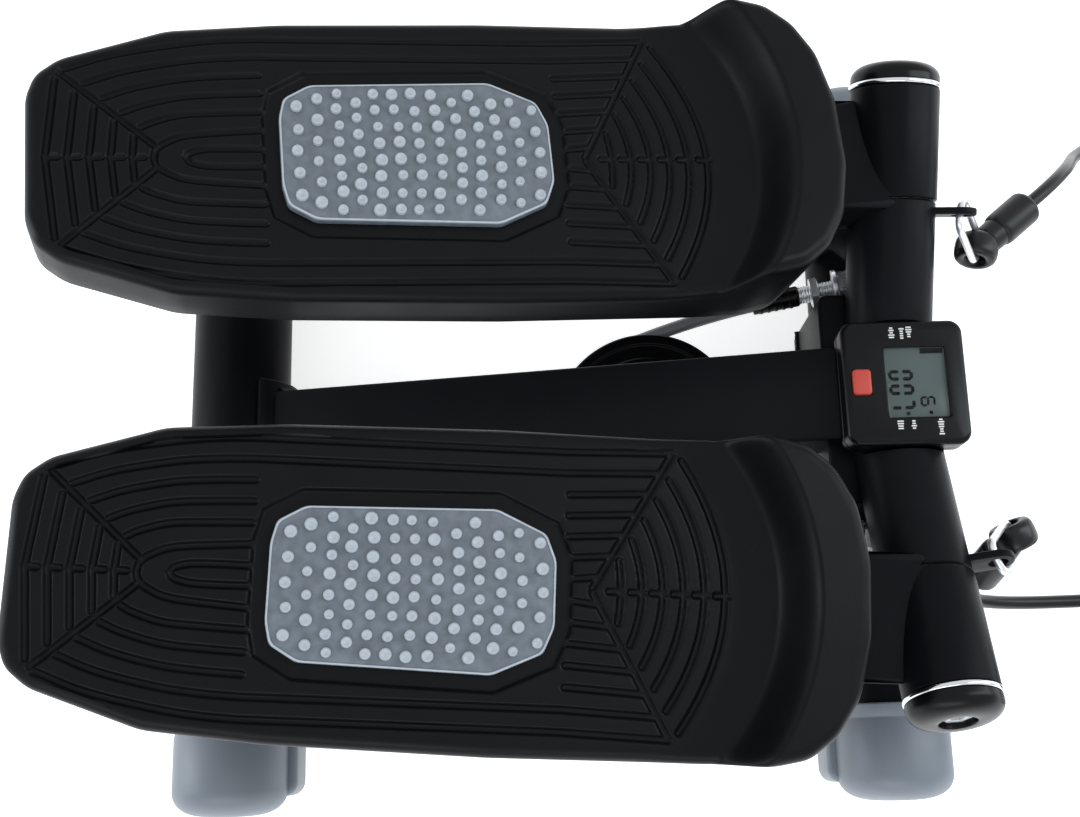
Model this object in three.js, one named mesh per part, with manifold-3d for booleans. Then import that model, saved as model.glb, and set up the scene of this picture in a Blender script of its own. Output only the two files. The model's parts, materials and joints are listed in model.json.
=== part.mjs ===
// Swing stepper: two tread pedals on inclined pivots, joined by a cable over a pulley.
// Millimetres. +X towards the toes, +Y the user's left, +Z up, floor at Z = 0.
import * as THREE from 'three';
import { mergeVertices } from 'three/addons/utils/BufferGeometryUtils.js';
import Module from 'manifold-3d';

const wasm = await Module();
wasm.setup();

const DEG = Math.PI / 180;
const GAP = 0.3;
const TUBE_SIDES = 18;

// Base
const REAR_X = -136.5;
const FRONT_X = 155;
const BAR_Z = 25;
const BAR_R = 22.5;
const BAR_WALL = 2;
const BAR_HALF = 150;
const CAP_IN = 126;
const CAP_OUT = 167.2;
const CAP_R = 25;
const DOME = 11;
const FOOT_INNER = 29;
const FOOT_OUTER = 20;
const FOOT_H = 20;

// Centre beam and pulley share one slope
const BEAM_X0 = -122;
const BEAM_Z0 = 42;
const BEAM_W = 40;
const BEAM_H = 28;
const SLOPE = Math.atan(50 / 247);
const PULLEY_C = new THREE.Vector3(51, 0, 41.2);
const PULLEY_R = 42;
const PULLEY_H = 9;
const CABLE_R = 3;
const WRAP_R = 38.6;
const TANGENT = 108 * DEG;

// Left pivot axis: a point at the outer ring, and its direction outwards
const LEAN = 2.6 * DEG;
const RISE = 16 * DEG;
const PIVOT = new THREE.Vector3(157.3, 127.7, 114.5);
const AXIS = new THREE.Vector3(
  Math.sin(LEAN) * Math.cos(RISE), Math.cos(LEAN) * Math.cos(RISE), Math.sin(RISE));
const HUB_R = 18.3;
const SLEEVE_R = 18.8;
const SLEEVE_BORE = 15.8;
const SLEEVE_IN = -48.2;
const HUB_END = -48.8;
const SHAFT_R = 10;

// Left pedal at level: origin on the tread, toe-out, heel up, outer edge down
const PEDAL_O = new THREE.Vector3(-44.1, 82.6, 155.2);
const TOE_OUT = 3.4 * DEG;
const HEEL_UP = 10.4 * DEG;
const EDGE_DOWN = 2.4 * DEG;
const REST = 1.9 * DEG;

// Damper and cable linkage
const DAMPER_B = new THREE.Vector3(125, 95.52, 40);
const DAMPER_P = new THREE.Vector3(-52.29, 83.23, 110.85);
const CABLE_E_U = 112.2;
const CABLE_E_V = 60;
const CABLE_RATE = -30.8;

// Pins, their close holes, and the wide eyes where the linkage is left open
const PIN_R = 4;
const PIN_HOLE = 4.3;
const ROD_EYE_BORE = 6.8;
const CABLE_PIN_R = 3.4;
const CABLE_EYE_BORE = 5.2;

// Row origin: below the middle of the body
const ORIGIN_X = 4.1;

// ---------- helpers ----------

function solidOf(geometry) {
  const g = geometry.clone();
  g.deleteAttribute('normal');
  g.deleteAttribute('uv');
  const m = mergeVertices(g, 1e-3);
  const mesh = new wasm.Mesh({
    numProp: 3,
    vertProperties: new Float32Array(m.attributes.position.array),
    triVerts: new Uint32Array(m.index.array),
  });
  return new wasm.Manifold(mesh);
}

function geometryOf(solid) {
  const out = solid.getMesh();
  const g = new THREE.BufferGeometry();
  const pos = new Float32Array(out.numVert * 3);
  for (let i = 0; i < out.numVert; i += 1) {
    for (let k = 0; k < 3; k += 1) {
      pos[3 * i + k] = out.vertProperties[i * out.numProp + k];
    }
  }
  g.setAttribute('position', new THREE.BufferAttribute(pos, 3));
  g.setIndex(new THREE.BufferAttribute(new Uint32Array(out.triVerts), 1));
  g.computeVertexNormals();
  return g;
}

function build(add, cut = []) {
  let body = solidOf(add[0]);
  for (const g of add.slice(1)) body = body.add(solidOf(g));
  for (const g of cut) body = body.subtract(solidOf(g));
  return geometryOf(body);
}

function box(x0, x1, y0, y1, z0, z1) {
  const g = new THREE.BoxGeometry(x1 - x0, y1 - y0, z1 - z0);
  g.translate((x0 + x1) / 2, (y0 + y1) / 2, (z0 + z1) / 2);
  return g;
}

// Turned shape about +Z from (radius, height) pairs; closed when it ends where it starts
function turned(pairs, segments = 18, closed = false) {
  const pts = pairs.map(([r, h]) => new THREE.Vector2(r, h));
  if (closed) pts.push(pts[0].clone());
  const g = new THREE.LatheGeometry(pts, segments);
  g.rotateX(Math.PI / 2);
  return g;
}

function rod(r, z0, z1, segments = 18) {
  return turned([[0, z0], [r, z0], [r, z1], [0, z1]], segments);
}

function ring(r0, r1, z0, z1, segments = 18) {
  return turned([[r0, z0], [r1, z0], [r1, z1], [r0, z1]], segments, true);
}

function plate(points, depth) {
  const shape = new THREE.Shape(points.map(([x, y]) => new THREE.Vector2(x, y)));
  return new THREE.ExtrudeGeometry(shape, { depth, bevelEnabled: false });
}

// A profile in X and Z, pushed along Y from y0 to y1
function slab(points, y0, y1) {
  const g = plate(points, y1 - y0);
  g.rotateX(Math.PI / 2);
  g.translate(0, y1, 0);
  return g;
}

function roundedRect(x0, x1, y0, y1, r, n = 3) {
  const out = [];
  const corners = [[x1 - r, y1 - r, 0], [x0 + r, y1 - r, 90], [x0 + r, y0 + r, 180], [x1 - r, y0 + r, 270]];
  for (const [cx, cy, a0] of corners) {
    for (let i = 0; i <= n; i += 1) {
      const a = (a0 + 90 * i / n) * DEG;
      out.push([cx + r * Math.cos(a), cy + r * Math.sin(a)]);
    }
  }
  return out;
}

function basis(x, y, z, origin) {
  const m = new THREE.Matrix4().makeBasis(x, y, z);
  m.setPosition(origin);
  return m;
}

// Frame whose +Z runs along a direction and whose +X stays as level as it can
function along(origin, direction) {
  const z = direction.clone().normalize();
  const x = new THREE.Vector3(1, 0, 0);
  x.addScaledVector(z, -x.dot(z));
  if (x.length() < 0.3) x.set(0, 1, 0).addScaledVector(z, -z.y);
  x.normalize();
  const y = new THREE.Vector3().crossVectors(z, x);
  return basis(x, y, z, origin);
}

function put(geometry, matrix) {
  const g = geometry.clone();
  g.applyMatrix4(matrix);
  return g;
}

function cordGeometry(points, r, sides, steps) {
  const shape = new THREE.Shape();
  for (let i = 0; i < sides; i += 1) {
    const a = 2 * Math.PI * i / sides;
    if (i === 0) shape.moveTo(r * Math.cos(a), r * Math.sin(a));
    else shape.lineTo(r * Math.cos(a), r * Math.sin(a));
  }
  const curve = new THREE.CatmullRomCurve3(points.map((p) => new THREE.Vector3(...p)));
  return new THREE.ExtrudeGeometry(shape, { steps, extrudePath: curve, bevelEnabled: false });
}

const COLORS = {
  frame: 0x1b1c1f,
  plastic: 0x1e2023,
  tread: 0x17181b,
  pale: 0xb9bdc1,
  cap: 0xa9afb4,
  zinc: 0xc4c6c8,
  chrome: 0xe2e4e6,
  rubber: 0x202124,
  foam: 0x242527,
  red: 0xc23b2e,
  glass: 0x8d9a94,
  lcd: 0x7f8f86,
  board: 0x2c6b45,
  nylon: 0xd9d6c8,
  cable: 0x8b8d8f,
};

function part(name, geometry, color) {
  const mesh = new THREE.Mesh(geometry, new THREE.MeshStandardMaterial({ color: COLORS[color] }));
  mesh.name = name;
  return mesh;
}

function mirrored(object, rename) {
  if (object.isMesh) {
    const g = object.geometry.clone();
    g.scale(1, -1, 1);
    if (g.index) {
      const idx = g.index.array;
      for (let i = 0; i < idx.length; i += 3) [idx[i], idx[i + 1]] = [idx[i + 1], idx[i]];
    } else {
      const p = g.attributes.position.array;
      for (let i = 0; i < p.length; i += 9) {
        for (let k = 0; k < 3; k += 1) [p[i + k], p[i + 3 + k]] = [p[i + 3 + k], p[i + k]];
      }
    }
    g.computeVertexNormals();
    const mesh = new THREE.Mesh(g, object.material.clone());
    mesh.name = rename(object.name);
    placeMirrored(mesh, object);
    return mesh;
  }
  const group = new THREE.Group();
  group.name = rename(object.name);
  placeMirrored(group, object);
  for (const child of object.children) group.add(mirrored(child, rename));
  return group;
}

function placeMirrored(target, source) {
  const { x, y, z } = source.position;
  target.position.set(x, -y, z);
  const q = source.quaternion;
  target.quaternion.set(-q.x, q.y, -q.z, q.w);
}

const toRight = (name) => name.replace(/^left_/, 'right_');

// ---------- frames ----------

const pivotFrame = along(PIVOT, AXIS);
const pedalRotation = new THREE.Matrix4()
  .makeRotationZ(TOE_OUT)
  .multiply(new THREE.Matrix4().makeRotationY(HEEL_UP))
  .multiply(new THREE.Matrix4().makeRotationX(-EDGE_DOWN));
const pedalFrame = pedalRotation.clone().setPosition(PEDAL_O);
const pulleyFrame = basis(
  new THREE.Vector3(Math.cos(SLOPE), 0, Math.sin(SLOPE)),
  new THREE.Vector3(0, 1, 0),
  new THREE.Vector3(-Math.sin(SLOPE), 0, Math.cos(SLOPE)),
  PULLEY_C);
const beamFrame = basis(
  new THREE.Vector3(Math.cos(SLOPE), 0, Math.sin(SLOPE)),
  new THREE.Vector3(0, 1, 0),
  new THREE.Vector3(-Math.sin(SLOPE), 0, Math.cos(SLOPE)),
  new THREE.Vector3(BEAM_X0, 0, BEAM_Z0));
const inPulleyPlane = (u, v, w = 0) => new THREE.Vector3(u, v, w).applyMatrix4(pulleyFrame);
const CABLE_E = inPulleyPlane(CABLE_E_U, CABLE_E_V);

function turnedAboutPivot(point, angle) {
  return point.clone().sub(PIVOT).applyAxisAngle(AXIS, angle).add(PIVOT);
}

function mirrorY(matrix) {
  const s = new THREE.Matrix4().makeScale(1, -1, 1);
  return s.clone().multiply(matrix).multiply(s);
}

// ---------- base ----------

function barAt(x) {
  const g = ring(BAR_R - BAR_WALL, BAR_R, -BAR_HALF, BAR_HALF, TUBE_SIDES);
  g.rotateX(Math.PI / 2);
  g.translate(x, 0, BAR_Z);
  return g;
}

function barVoid(x, r) {
  const g = rod(r, -90, 90, TUBE_SIDES);
  g.rotateX(Math.PI / 2);
  g.translate(x, 0, BAR_Z);
  return g;
}

// Domed end cap; its flat foot reaches further towards the middle of the machine.
// side is +1 for the left end of the bar
function endCap(x, side) {
  const shell = turned([
    [0, CAP_IN], [CAP_R, CAP_IN], [CAP_R, CAP_OUT - DOME], [CAP_R - 2.2, CAP_OUT - 0.5 * DOME],
    [CAP_R - 7.5, CAP_OUT - 0.16 * DOME], [CAP_R - 14, CAP_OUT], [0, CAP_OUT]], TUBE_SIDES);
  shell.rotateX(-Math.PI / 2);
  const inward = (x < 0 ? 1 : -1) * side;
  const edges = [-FOOT_OUTER * inward, FOOT_INNER * inward];
  const foot = plate(
    roundedRect(Math.min(...edges), Math.max(...edges), CAP_IN + 3, CAP_OUT - DOME + 3, 6, 2), FOOT_H);
  foot.translate(0, 0, -BAR_Z);
  const bore = rod(BAR_R + GAP, CAP_IN - 2, BAR_HALF + 1, TUBE_SIDES);
  bore.rotateX(-Math.PI / 2);
  const cap = build([shell, foot], [bore]);
  if (side < 0) cap.rotateZ(Math.PI);
  cap.translate(x, 0, BAR_Z);
  return cap;
}

function hubHalf(r, t0, t1) {
  return put(rod(r, t0, t1, TUBE_SIDES), pivotFrame);
}

const CENTRE_T = -PIVOT.y / AXIS.y;

function hubVoids(r) {
  const left = hubHalf(r, CENTRE_T - 12, HUB_END + 6);
  const right = put(rod(r, CENTRE_T - 12, HUB_END + 6, TUBE_SIDES), mirrorY(pivotFrame));
  return [left, right];
}

function beamBox(grow, u0, u1, wall = 0) {
  const half = BEAM_W / 2 + grow - wall;
  return put(box(u0, u1, -half, half, -BEAM_H - grow + wall, grow - wall), beamFrame);
}

function centreBeam() {
  const tube = build([beamBox(0, -6, 275)], [
    beamBox(0, -20, 300, 2.2),
    barVoid(REAR_X, BAR_R + 2),
    ...hubVoids(HUB_R + GAP),
    put(box(255, 300, -40, 40, -60, 40), beamFrame),
    put(rod(5.3, -12, 14, 12), pulleyFrame),
  ]);
  return build([tube, rearSaddle()]);
}

// Curved plate welded to the beam's rear end, lying on the rear bar
function rearSaddle() {
  const pts = [];
  const n = 8;
  const arc = (r, i) => {
    const a = (-55 + 115 * i / n) * DEG;
    return [REAR_X + r * Math.cos(a), BAR_Z + r * Math.sin(a)];
  };
  for (let i = 0; i <= n; i += 1) pts.push(arc(BAR_R + 3.8, i));
  for (let i = n; i >= 0; i -= 1) pts.push(arc(BAR_R + GAP + 0.2, i));
  return slab(pts, -25, 25);
}

function frontUpright() {
  return build([box(124, 172, -46, 46, 26, 84)], [
    box(126.5, 169.5, -43.5, 43.5, 20, 81.5),
    barVoid(FRONT_X, BAR_R + GAP),
    ...hubVoids(HUB_R + GAP),
    beamBox(GAP, 200, 275),
  ]);
}

// Tab on the end of the hub tube, square to the pivot and pointing forwards and up
function onTab(geometry) {
  geometry.rotateZ(-15 * DEG);
  return put(geometry, pivotFrame);
}

function bandTab() {
  const g = plate(roundedRect(14, 35, -7, 7, 6.5, 2), 3);
  g.translate(0, 0, -54.5);
  return onTab(g);
}

function bandTabHole() {
  const g = rod(4, -60, -45, 12);
  g.translate(28.5, 0, 0);
  return onTab(g);
}

function hubTube() {
  const outer = [hubHalf(HUB_R, CENTRE_T - 4, HUB_END), bandTab()];
  const cuts = [
    hubHalf(SLEEVE_BORE, CENTRE_T - 1, HUB_END - 14),
    hubHalf(SHAFT_R + GAP, HUB_END - 20, HUB_END + 4),
    bandTabHole(),
  ];
  const both = (g) => [g, flipped(g)];
  const counterSeat = box(110, 190, -27.4, 27.4, 92.6, 140);
  return build(outer.flatMap(both), [...cuts.flatMap(both), counterSeat]);
}

function flipped(geometry) {
  return mirrored(part('left_half', geometry, 'frame'), toRight).geometry;
}

function pivotShaft() {
  const g = build([rod(SHAFT_R, HUB_END - 13, -1.6)], [rod(4.1, -16, 2, 10)]);
  return put(g, pivotFrame);
}

// Screw and washer that keep the sleeve on its shaft
function shaftEndBolt() {
  const g = turned([
    [0, -14], [3.8, -14], [3.8, -1.2], [10.2, -1.2], [10.2, 0.9], [6.2, 0.9], [6.2, 4.8], [5.4, 5.6],
    [0, 5.6]], 12);
  return put(g, pivotFrame);
}

const acrossPivot = (point) => along(point, AXIS);

// Two ears and a web, welded to the front bar, with the damper's lower eye between them
function damperAnchor() {
  const frame = acrossPivot(DAMPER_B);
  const ear = (z0) => {
    const g = plate([[-7, 5], [-7, -4], [-3, -7.5], [4, -8.5], [18, -5], [20, 14], [4, 9], [-3, 8.5]], 4);
    g.translate(0, 0, z0);
    return put(g, frame);
  };
  const web = put(box(11.6, 18, -4, 12, -14, 14), frame);
  return build([ear(-14), ear(10), web], [put(rod(PIN_HOLE, -20, 20, 12), frame)]);
}

function frontStabilizer() {
  const inside = rod(BAR_R - BAR_WALL, -160, 160, TUBE_SIDES);
  inside.rotateX(Math.PI / 2);
  inside.translate(FRONT_X, 0, BAR_Z);
  const anchor = damperAnchor();
  return build([barAt(FRONT_X), build([anchor], [inside]), build([flipped(anchor)], [inside])]);
}

function pinGeometry(length) {
  const h = length / 2;
  return turned([
    [0, -h - 3], [6, -h - 3], [6, -h], [PIN_R, -h], [PIN_R, h], [6.2, h], [6.2, h + 4],
    [0, h + 4]], 12);
}

function damperLowerPin() {
  return put(pinGeometry(29), acrossPivot(DAMPER_B));
}

function pulleyBolt() {
  return put(turned([
    [0, -13], [8, -13], [8, -8.2], [4.9, -8.2], [4.9, 9.5], [8, 9.5], [8, 14], [0, 14]], 12), pulleyFrame);
}

function pulleyBush() {
  return put(ring(5.2, 8, -7.9, 5.6, 12), pulleyFrame);
}

// ---------- monitor ----------

const MON = { x0: 127.4, x1: 178, y: 26.3, top: 107, split: 98.2, low: 84, wall: 2 };
const WINDOW = { x0: 144.8, x1: 169.9, y0: -14.8, y1: 15 };
const BUTTON = { x0: 130.8, x1: 138.4, y: 5.4 };

function counterPlate(inset, corner, z0, depth, arcs = 4) {
  const g = plate(
    roundedRect(MON.x0 + inset, MON.x1 - inset, -MON.y + inset, MON.y - inset, corner, arcs), depth);
  g.translate(0, 0, z0);
  return g;
}

function monitorFront() {
  const body = counterPlate(0, 5.5, MON.split + GAP / 2, MON.top - MON.split - 1.2);
  const lid = counterPlate(1, 4.8, MON.top - 1.6, 1.6);
  const inner = counterPlate(MON.wall, 4, MON.top - 10, 8, 2);
  return build([body, lid], [
    inner,
    box(WINDOW.x0, WINDOW.x1, WINDOW.y0, WINDOW.y1, 100, 110),
    box(BUTTON.x0 - 0.4, BUTTON.x1 + 0.4, -BUTTON.y - 0.4, BUTTON.y + 0.4, 100, 110),
  ]);
}

function monitorBack() {
  const body = counterPlate(0, 5.5, MON.split - GAP / 2 - 4.6, 4.6);
  const skirt = taper(
    { x0: MON.x0 + 6, x1: MON.x1 - 6, y: MON.y - 3.5, z: MON.low },
    { x0: MON.x0 + 0.6, x1: MON.x1 - 0.6, y: MON.y - 0.6, z: MON.split - 4.5 });
  const inner = counterPlate(MON.wall, 4, 95.3, 8, 2);
  const hub = hubVoids(HUB_R + GAP).map((g) => build([g], [box(100, 200, -60, 60, 93, 150)]));
  return build([body, skirt], [
    inner, ...hub, beamBox(GAP, 200, 275), box(100, 172.3, -46.3, 46.3, 70, 84.3),
  ]);
}

// Four-sided block between a lower and an upper rectangle
function taper(low, high) {
  const g = new THREE.BoxGeometry(2, 2, 2);
  const p = g.attributes.position;
  for (let i = 0; i < p.count; i += 1) {
    const end = p.getZ(i) > 0 ? high : low;
    p.setXYZ(i, p.getX(i) > 0 ? end.x1 : end.x0, Math.sign(p.getY(i)) * end.y, end.z);
  }
  return g;
}

function monitorParts() {
  const window = box(
    WINDOW.x0 + GAP, WINDOW.x1 - GAP, WINDOW.y0 + GAP, WINDOW.y1 - GAP, 105.3, 106.5);
  const lcd = box(142, 173, -17.5, 17.5, 103, 104.7);
  const board = box(130, 174.5, -21, 21, 100.6, 102.1);
  const battery = rod(5.8, 95.6, 100.2, 18);
  battery.translate(140, -14, 0);
  return [
    part('monitor_back_shell', monitorBack(), 'plastic'),
    part('monitor_front_shell', monitorFront(), 'plastic'),
    part('monitor_window', window, 'glass'),
    part('lcd_panel', lcd, 'lcd'),
    part('circuit_board', board, 'board'),
    part('battery_cell', battery, 'zinc'),
    part('mode_button', modeButton(), 'red'),
  ];
}

function modeButton() {
  const cap = plate(roundedRect(BUTTON.x0, BUTTON.x1, -BUTTON.y, BUTTON.y, 1.6, 2), 4.6);
  cap.translate(0, 0, 104.2);
  const flange = box(BUTTON.x0 - 1, BUTTON.x1 + 1.2, -BUTTON.y - 1.2, BUTTON.y + 1.2, 103.1, 104.3);
  return build([cap, flange]);
}

// ---------- pulley and cable ----------

function pulleyWheel() {
  const h = PULLEY_H / 2;
  return put(turned([
    [8.3, -h], [PULLEY_R - 0.8, -h], [PULLEY_R, -h + 0.7], [PULLEY_R, -3.6], [35.2, -3.2],
    [35.2, 3.2], [PULLEY_R, 3.6], [PULLEY_R, h - 0.7], [PULLEY_R - 0.8, h], [8.3, h]],
  28, true), pulleyFrame);
}

function cableWrap(turn) {
  const pts = [];
  const n = 14;
  const a0 = TANGENT + 0.8 * DEG;
  const a1 = 2 * Math.PI - TANGENT - 0.8 * DEG;
  for (let i = 0; i <= n; i += 1) {
    const a = a0 + (a1 - a0) * i / n + turn;
    pts.push(inPulleyPlane(WRAP_R * Math.cos(a), WRAP_R * Math.sin(a)).toArray());
  }
  return cordGeometry(pts, CABLE_R, 8, 16);
}

// Left cable run at level, from the pulley tangent to the ferrule
const CABLE_ROUTE = [
  [WRAP_R * Math.cos(TANGENT), WRAP_R * Math.sin(TANGENT)],
  [8, 42.9], [27, 47.8], [44, 51.3], [61, 54]];

function cableRun() {
  const pts = CABLE_ROUTE.map(([u, v]) => inPulleyPlane(u, v).toArray());
  return cordGeometry(pts, CABLE_R, 8, 10);
}

// One swaged assembly: sheathed rope, ferrule, threaded stud with nut and washer, and eye
function cable() {
  const from = inPulleyPlane(61, 54);
  const dir = CABLE_E.clone().sub(from);
  const length = dir.length();
  const frame = along(from, dir);
  const ferrule = turned([
    [0, -9], [4.7, -9], [4.7, 12], [4, 13], [4, 28.2], [8.6, 28.2], [8.6, 30.2], [4, 30.2],
    [4, length - 8], [0, length - 8]], 12);
  const nut = turned([[0, 30], [7.6, 30], [7.6, 36.5], [0, 36.5]], 6);
  const eye = put(rod(9.5, -2.7, 2.7, 14), acrossPivot(CABLE_E));
  const hole = put(rod(CABLE_EYE_BORE, -6, 6, 12), acrossPivot(CABLE_E));
  return build([put(ferrule, frame), put(nut, frame), eye, cableRun()], [hole]);
}

// ---------- dampers ----------

function damper(side, q) {
  const pin = turnedAboutPivot(DAMPER_P, q);
  const dir = pin.clone().sub(DAMPER_B);
  const length = dir.length();
  const frame = along(DAMPER_B, dir);
  const barrel = build([
    put(turned([[0, 9], [10, 9], [14, 13], [14, 117], [12.6, 119.5], [0, 119.5]], 16), frame),
    put(rod(10, -9, 9, 14), acrossPivot(DAMPER_B)),
  ], [
    put(rod(PIN_HOLE, -12, 12, 12), acrossPivot(DAMPER_B)),
    put(rod(12, 20, 113, 16), frame),
    put(rod(5, 110, 125, 12), frame),
  ]);
  const stem = build([
    put(turned([
      [0, 72], [11.6, 72], [11.6, 82], [4.6, 82], [4.6, length - 12], [7, length - 12],
      [7, length - 6], [0, length - 6]], 12), frame),
    put(rod(10, -8, 8, 14), acrossPivot(pin)),
  ], [put(rod(ROD_EYE_BORE, -12, 12, 12), acrossPivot(pin))]);
  return [
    part(`${side}_damper_barrel`, barrel, 'frame'),
    part(`${side}_damper_rod`, stem, 'chrome'),
  ];
}

// ---------- arm ----------

function armWeldment() {
  const toPedal = pedalFrame.clone().invert();
  const pivotInPedal = toPedal.clone().multiply(pivotFrame);
  const sleeve = put(rod(SLEEVE_R, SLEEVE_IN, -1.6, TUBE_SIDES), pivotInPedal);
  const beam = slab([
    [-72, -6.6], [166, -6.6], [203, -0.6], [203, -24], [186, -31], [-72, -31]], -22, 28);
  const hollow = slab([[-80, -9.6], [166, -9.6], [166, -28], [-80, -28]], -19, 25);
  const lug = put(slab([
    [108, 100], [114, 88], [134, 78], [149, 54.5], [170, 54.5], [172, 60], [168, 76], [156, 82],
    [134, 104]], 68.3, 73.5), toPedal);
  const pin = toPedal.clone().multiply(acrossPivot(DAMPER_P));
  const ears = [];
  for (const z0 of [-13.4, 9.4]) {
    const g = plate([[-9, -7], [9, -7], [13, 22], [-13, 22]], 4);
    g.translate(0, 0, z0);
    ears.push(put(g, earFrame(pin)));
  }
  const cuts = [
    hollow,
    put(rod(SLEEVE_BORE, SLEEVE_IN - 2, 4, TUBE_SIDES), pivotInPedal),
    put(rod(HUB_R + 1.1, SLEEVE_IN - 40, SLEEVE_IN - 0.1, TUBE_SIDES), pivotInPedal),
    put(rod(PIN_HOLE, -20, 20, 12), pin),
    put(rod(PIN_HOLE, -8, 30, 12), toPedal.clone().multiply(acrossPivot(CABLE_E))),
  ];
  for (const [u, v] of SCREWS) {
    const g = rod(2.7, -12, 0, 6);
    g.translate(u, v, 0);
    cuts.push(g);
  }
  return build([beam, sleeve, lug, ...ears], cuts);
}

// Ear outline stands square to the pin, with +Y up
function earFrame(pin) {
  const x = new THREE.Vector3();
  const y = new THREE.Vector3();
  const z = new THREE.Vector3();
  pin.extractBasis(x, y, z);
  const up = new THREE.Vector3(0, 0, 1).addScaledVector(z, -z.z).normalize();
  const side = new THREE.Vector3().crossVectors(up, z);
  return basis(side, up, z, new THREE.Vector3().setFromMatrixPosition(pin));
}

const SCREWS = [[-34, -9], [-34, 15], [36, -9], [36, 15]];

function bushing() {
  return ring(SHAFT_R + GAP, SLEEVE_BORE - GAP, SLEEVE_IN + 0.4, -1.9);
}

function sleeveRing() {
  return ring(11, 19.3, -1.3, 0.8, 20);
}

function sleeveCap() {
  return turned([
    [7.4, 1.1], [18.7, 1.1], [18.7, 3.4], [17, 6.8], [12, 9.2], [7.4, 9.6]], 20, true);
}

// Tread outline from heel to toe: station along the foot and half width
const OUTLINE = [
  [-143.2, 25], [-140, 34], [-131.5, 40.8], [-92, 54], [-50, 57.8], [30, 60.3],
  [108, 60.4], [130, 59.8], [143, 57], [153.5, 49], [162, 35.5], [167, 14]];
const WIDTH_SHIFT = -0.8;

// Each outline point moves towards the foot's centre line by the given distance
function outlineRing(inset) {
  const full = OUTLINE.map(([u, v]) => [u, v]);
  for (let i = OUTLINE.length - 1; i >= 0; i -= 1) full.push([OUTLINE[i][0], -OUTLINE[i][1]]);
  return full.map(([u, v]) => {
    const cu = Math.min(112, Math.max(-92, u));
    const f = inset / Math.hypot(u - cu, v);
    return [u + (cu - u) * f, v * (1 - f) + WIDTH_SHIFT];
  });
}

function smooth(t) {
  const c = Math.min(1, Math.max(0, t));
  return c * c * (3 - 2 * c);
}

// Height of the tread surface: flat, then a scoop that climbs to the toe guard
function treadHeight(u, v) {
  const r = Math.hypot(u - 60, 0.92 * (v - WIDTH_SHIFT));
  if (u < 70) return 0;
  const low = 5 * smooth((r - 60) / 22);
  const high = 19.5 * smooth((r - 76) / 12);
  return low + high;
}

function loft(rings) {
  const n = rings[0].length;
  const pos = [];
  const idx = [];
  for (const r of rings) for (const p of r) pos.push(...p);
  for (let k = 0; k + 1 < rings.length; k += 1) {
    for (let i = 0; i < n; i += 1) {
      const j = (i + 1) % n;
      const a = k * n + i;
      const b = k * n + j;
      const c = (k + 1) * n + i;
      const d = (k + 1) * n + j;
      idx.push(a, b, d, a, d, c);
    }
  }
  return { pos, idx, n };
}

function closeFlat(mesh, ringIndex, flip) {
  const { pos, idx, n } = mesh;
  const contour = [];
  for (let i = 0; i < n; i += 1) {
    const k = 3 * (ringIndex * n + i);
    contour.push(new THREE.Vector2(pos[k], pos[k + 1]));
  }
  const turn = Math.sign(THREE.ShapeUtils.area(contour));
  const base = ringIndex * n;
  for (const [a, b, c] of THREE.ShapeUtils.triangulateShape(contour, [])) {
    const same = Math.sign(THREE.ShapeUtils.area([contour[a], contour[b], contour[c]])) === turn;
    if (same === flip) idx.push(base + c, base + b, base + a);
    else idx.push(base + a, base + b, base + c);
  }
}

function treadShell(insets, drops, skirt) {
  const rings = [];
  const foot = outlineRing(insets[0]).map(([u, v]) => [u, v, skirt]);
  rings.push(foot);
  for (let i = 0; i < insets.length; i += 1) {
    const plan = outlineRing(insets[i]);
    rings.push(plan.map(([u, v]) => [u, v, treadHeight(u, v) - drops[i]]));
  }
  const mesh = loft(rings);
  closeFlat(mesh, 0, true);
  closeFlat(mesh, rings.length - 1, false);
  const g = new THREE.BufferGeometry();
  g.setAttribute('position', new THREE.BufferAttribute(new Float32Array(mesh.pos), 3));
  g.setIndex(mesh.idx);
  return g;
}

function orient(g) {
  const p = g.attributes.position;
  const idx = g.index.array;
  let volume = 0;
  const a = new THREE.Vector3();
  const b = new THREE.Vector3();
  const c = new THREE.Vector3();
  for (let i = 0; i < idx.length; i += 3) {
    a.fromBufferAttribute(p, idx[i]);
    b.fromBufferAttribute(p, idx[i + 1]);
    c.fromBufferAttribute(p, idx[i + 2]);
    volume += a.dot(b.cross(c));
  }
  if (volume < 0) for (let i = 0; i < idx.length; i += 3) [idx[i], idx[i + 1]] = [idx[i + 1], idx[i]];
  return g;
}

const INSERT = [
  [-51.4, -14], [-49.5, -22], [-39.6, -27.8], [30, -30], [48.6, -21.7], [52.6, -12],
  [52.6, 12], [48.6, 21.7], [30, 30], [-39.6, 27.8], [-49.5, 22], [-51.4, 14]];

function insertOutline(grow) {
  return INSERT.map(([u, v]) => [u * (1 + grow / 52), v * (1 + grow / 30)]);
}

function pedalTray() {
  const outer = orient(treadShell([0, 2.2, 7, 15, 22, 29, 48], [7, 1.6, 0, 0, 0, 0, 0], -24));
  const inner = orient(treadShell([5, 8, 24, 48], [9, 6.2, 6.2, 6.2], -30));
  const pocket = plate(insertOutline(1.6), 10);
  pocket.translate(0, 0, -2.6);
  const notch = slab([
    [20, -6.2], [167.6, -6.2], [204, 0], [204, -24], [190, -40], [20, -40]], -22.6, 28.6);
  const seat = box(-42.3, 44.3, -15.3, 21.3, -4.3, 2);
  const cuts = [inner, pocket, notch, seat];
  for (const [u, v] of SCREWS) {
    const hole = rod(2.7, -12, 2, 6);
    hole.translate(u, v, 0);
    cuts.push(hole);
  }
  return build([outer], cuts);
}

function treadInsert() {
  const body = plate(insertOutline(0), 2.9);
  body.translate(0, 0, -2.3);
  const top = plate(insertOutline(-1.2), 0.8);
  top.translate(0, 0, 0.5);
  return build([body, top]);
}

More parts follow.
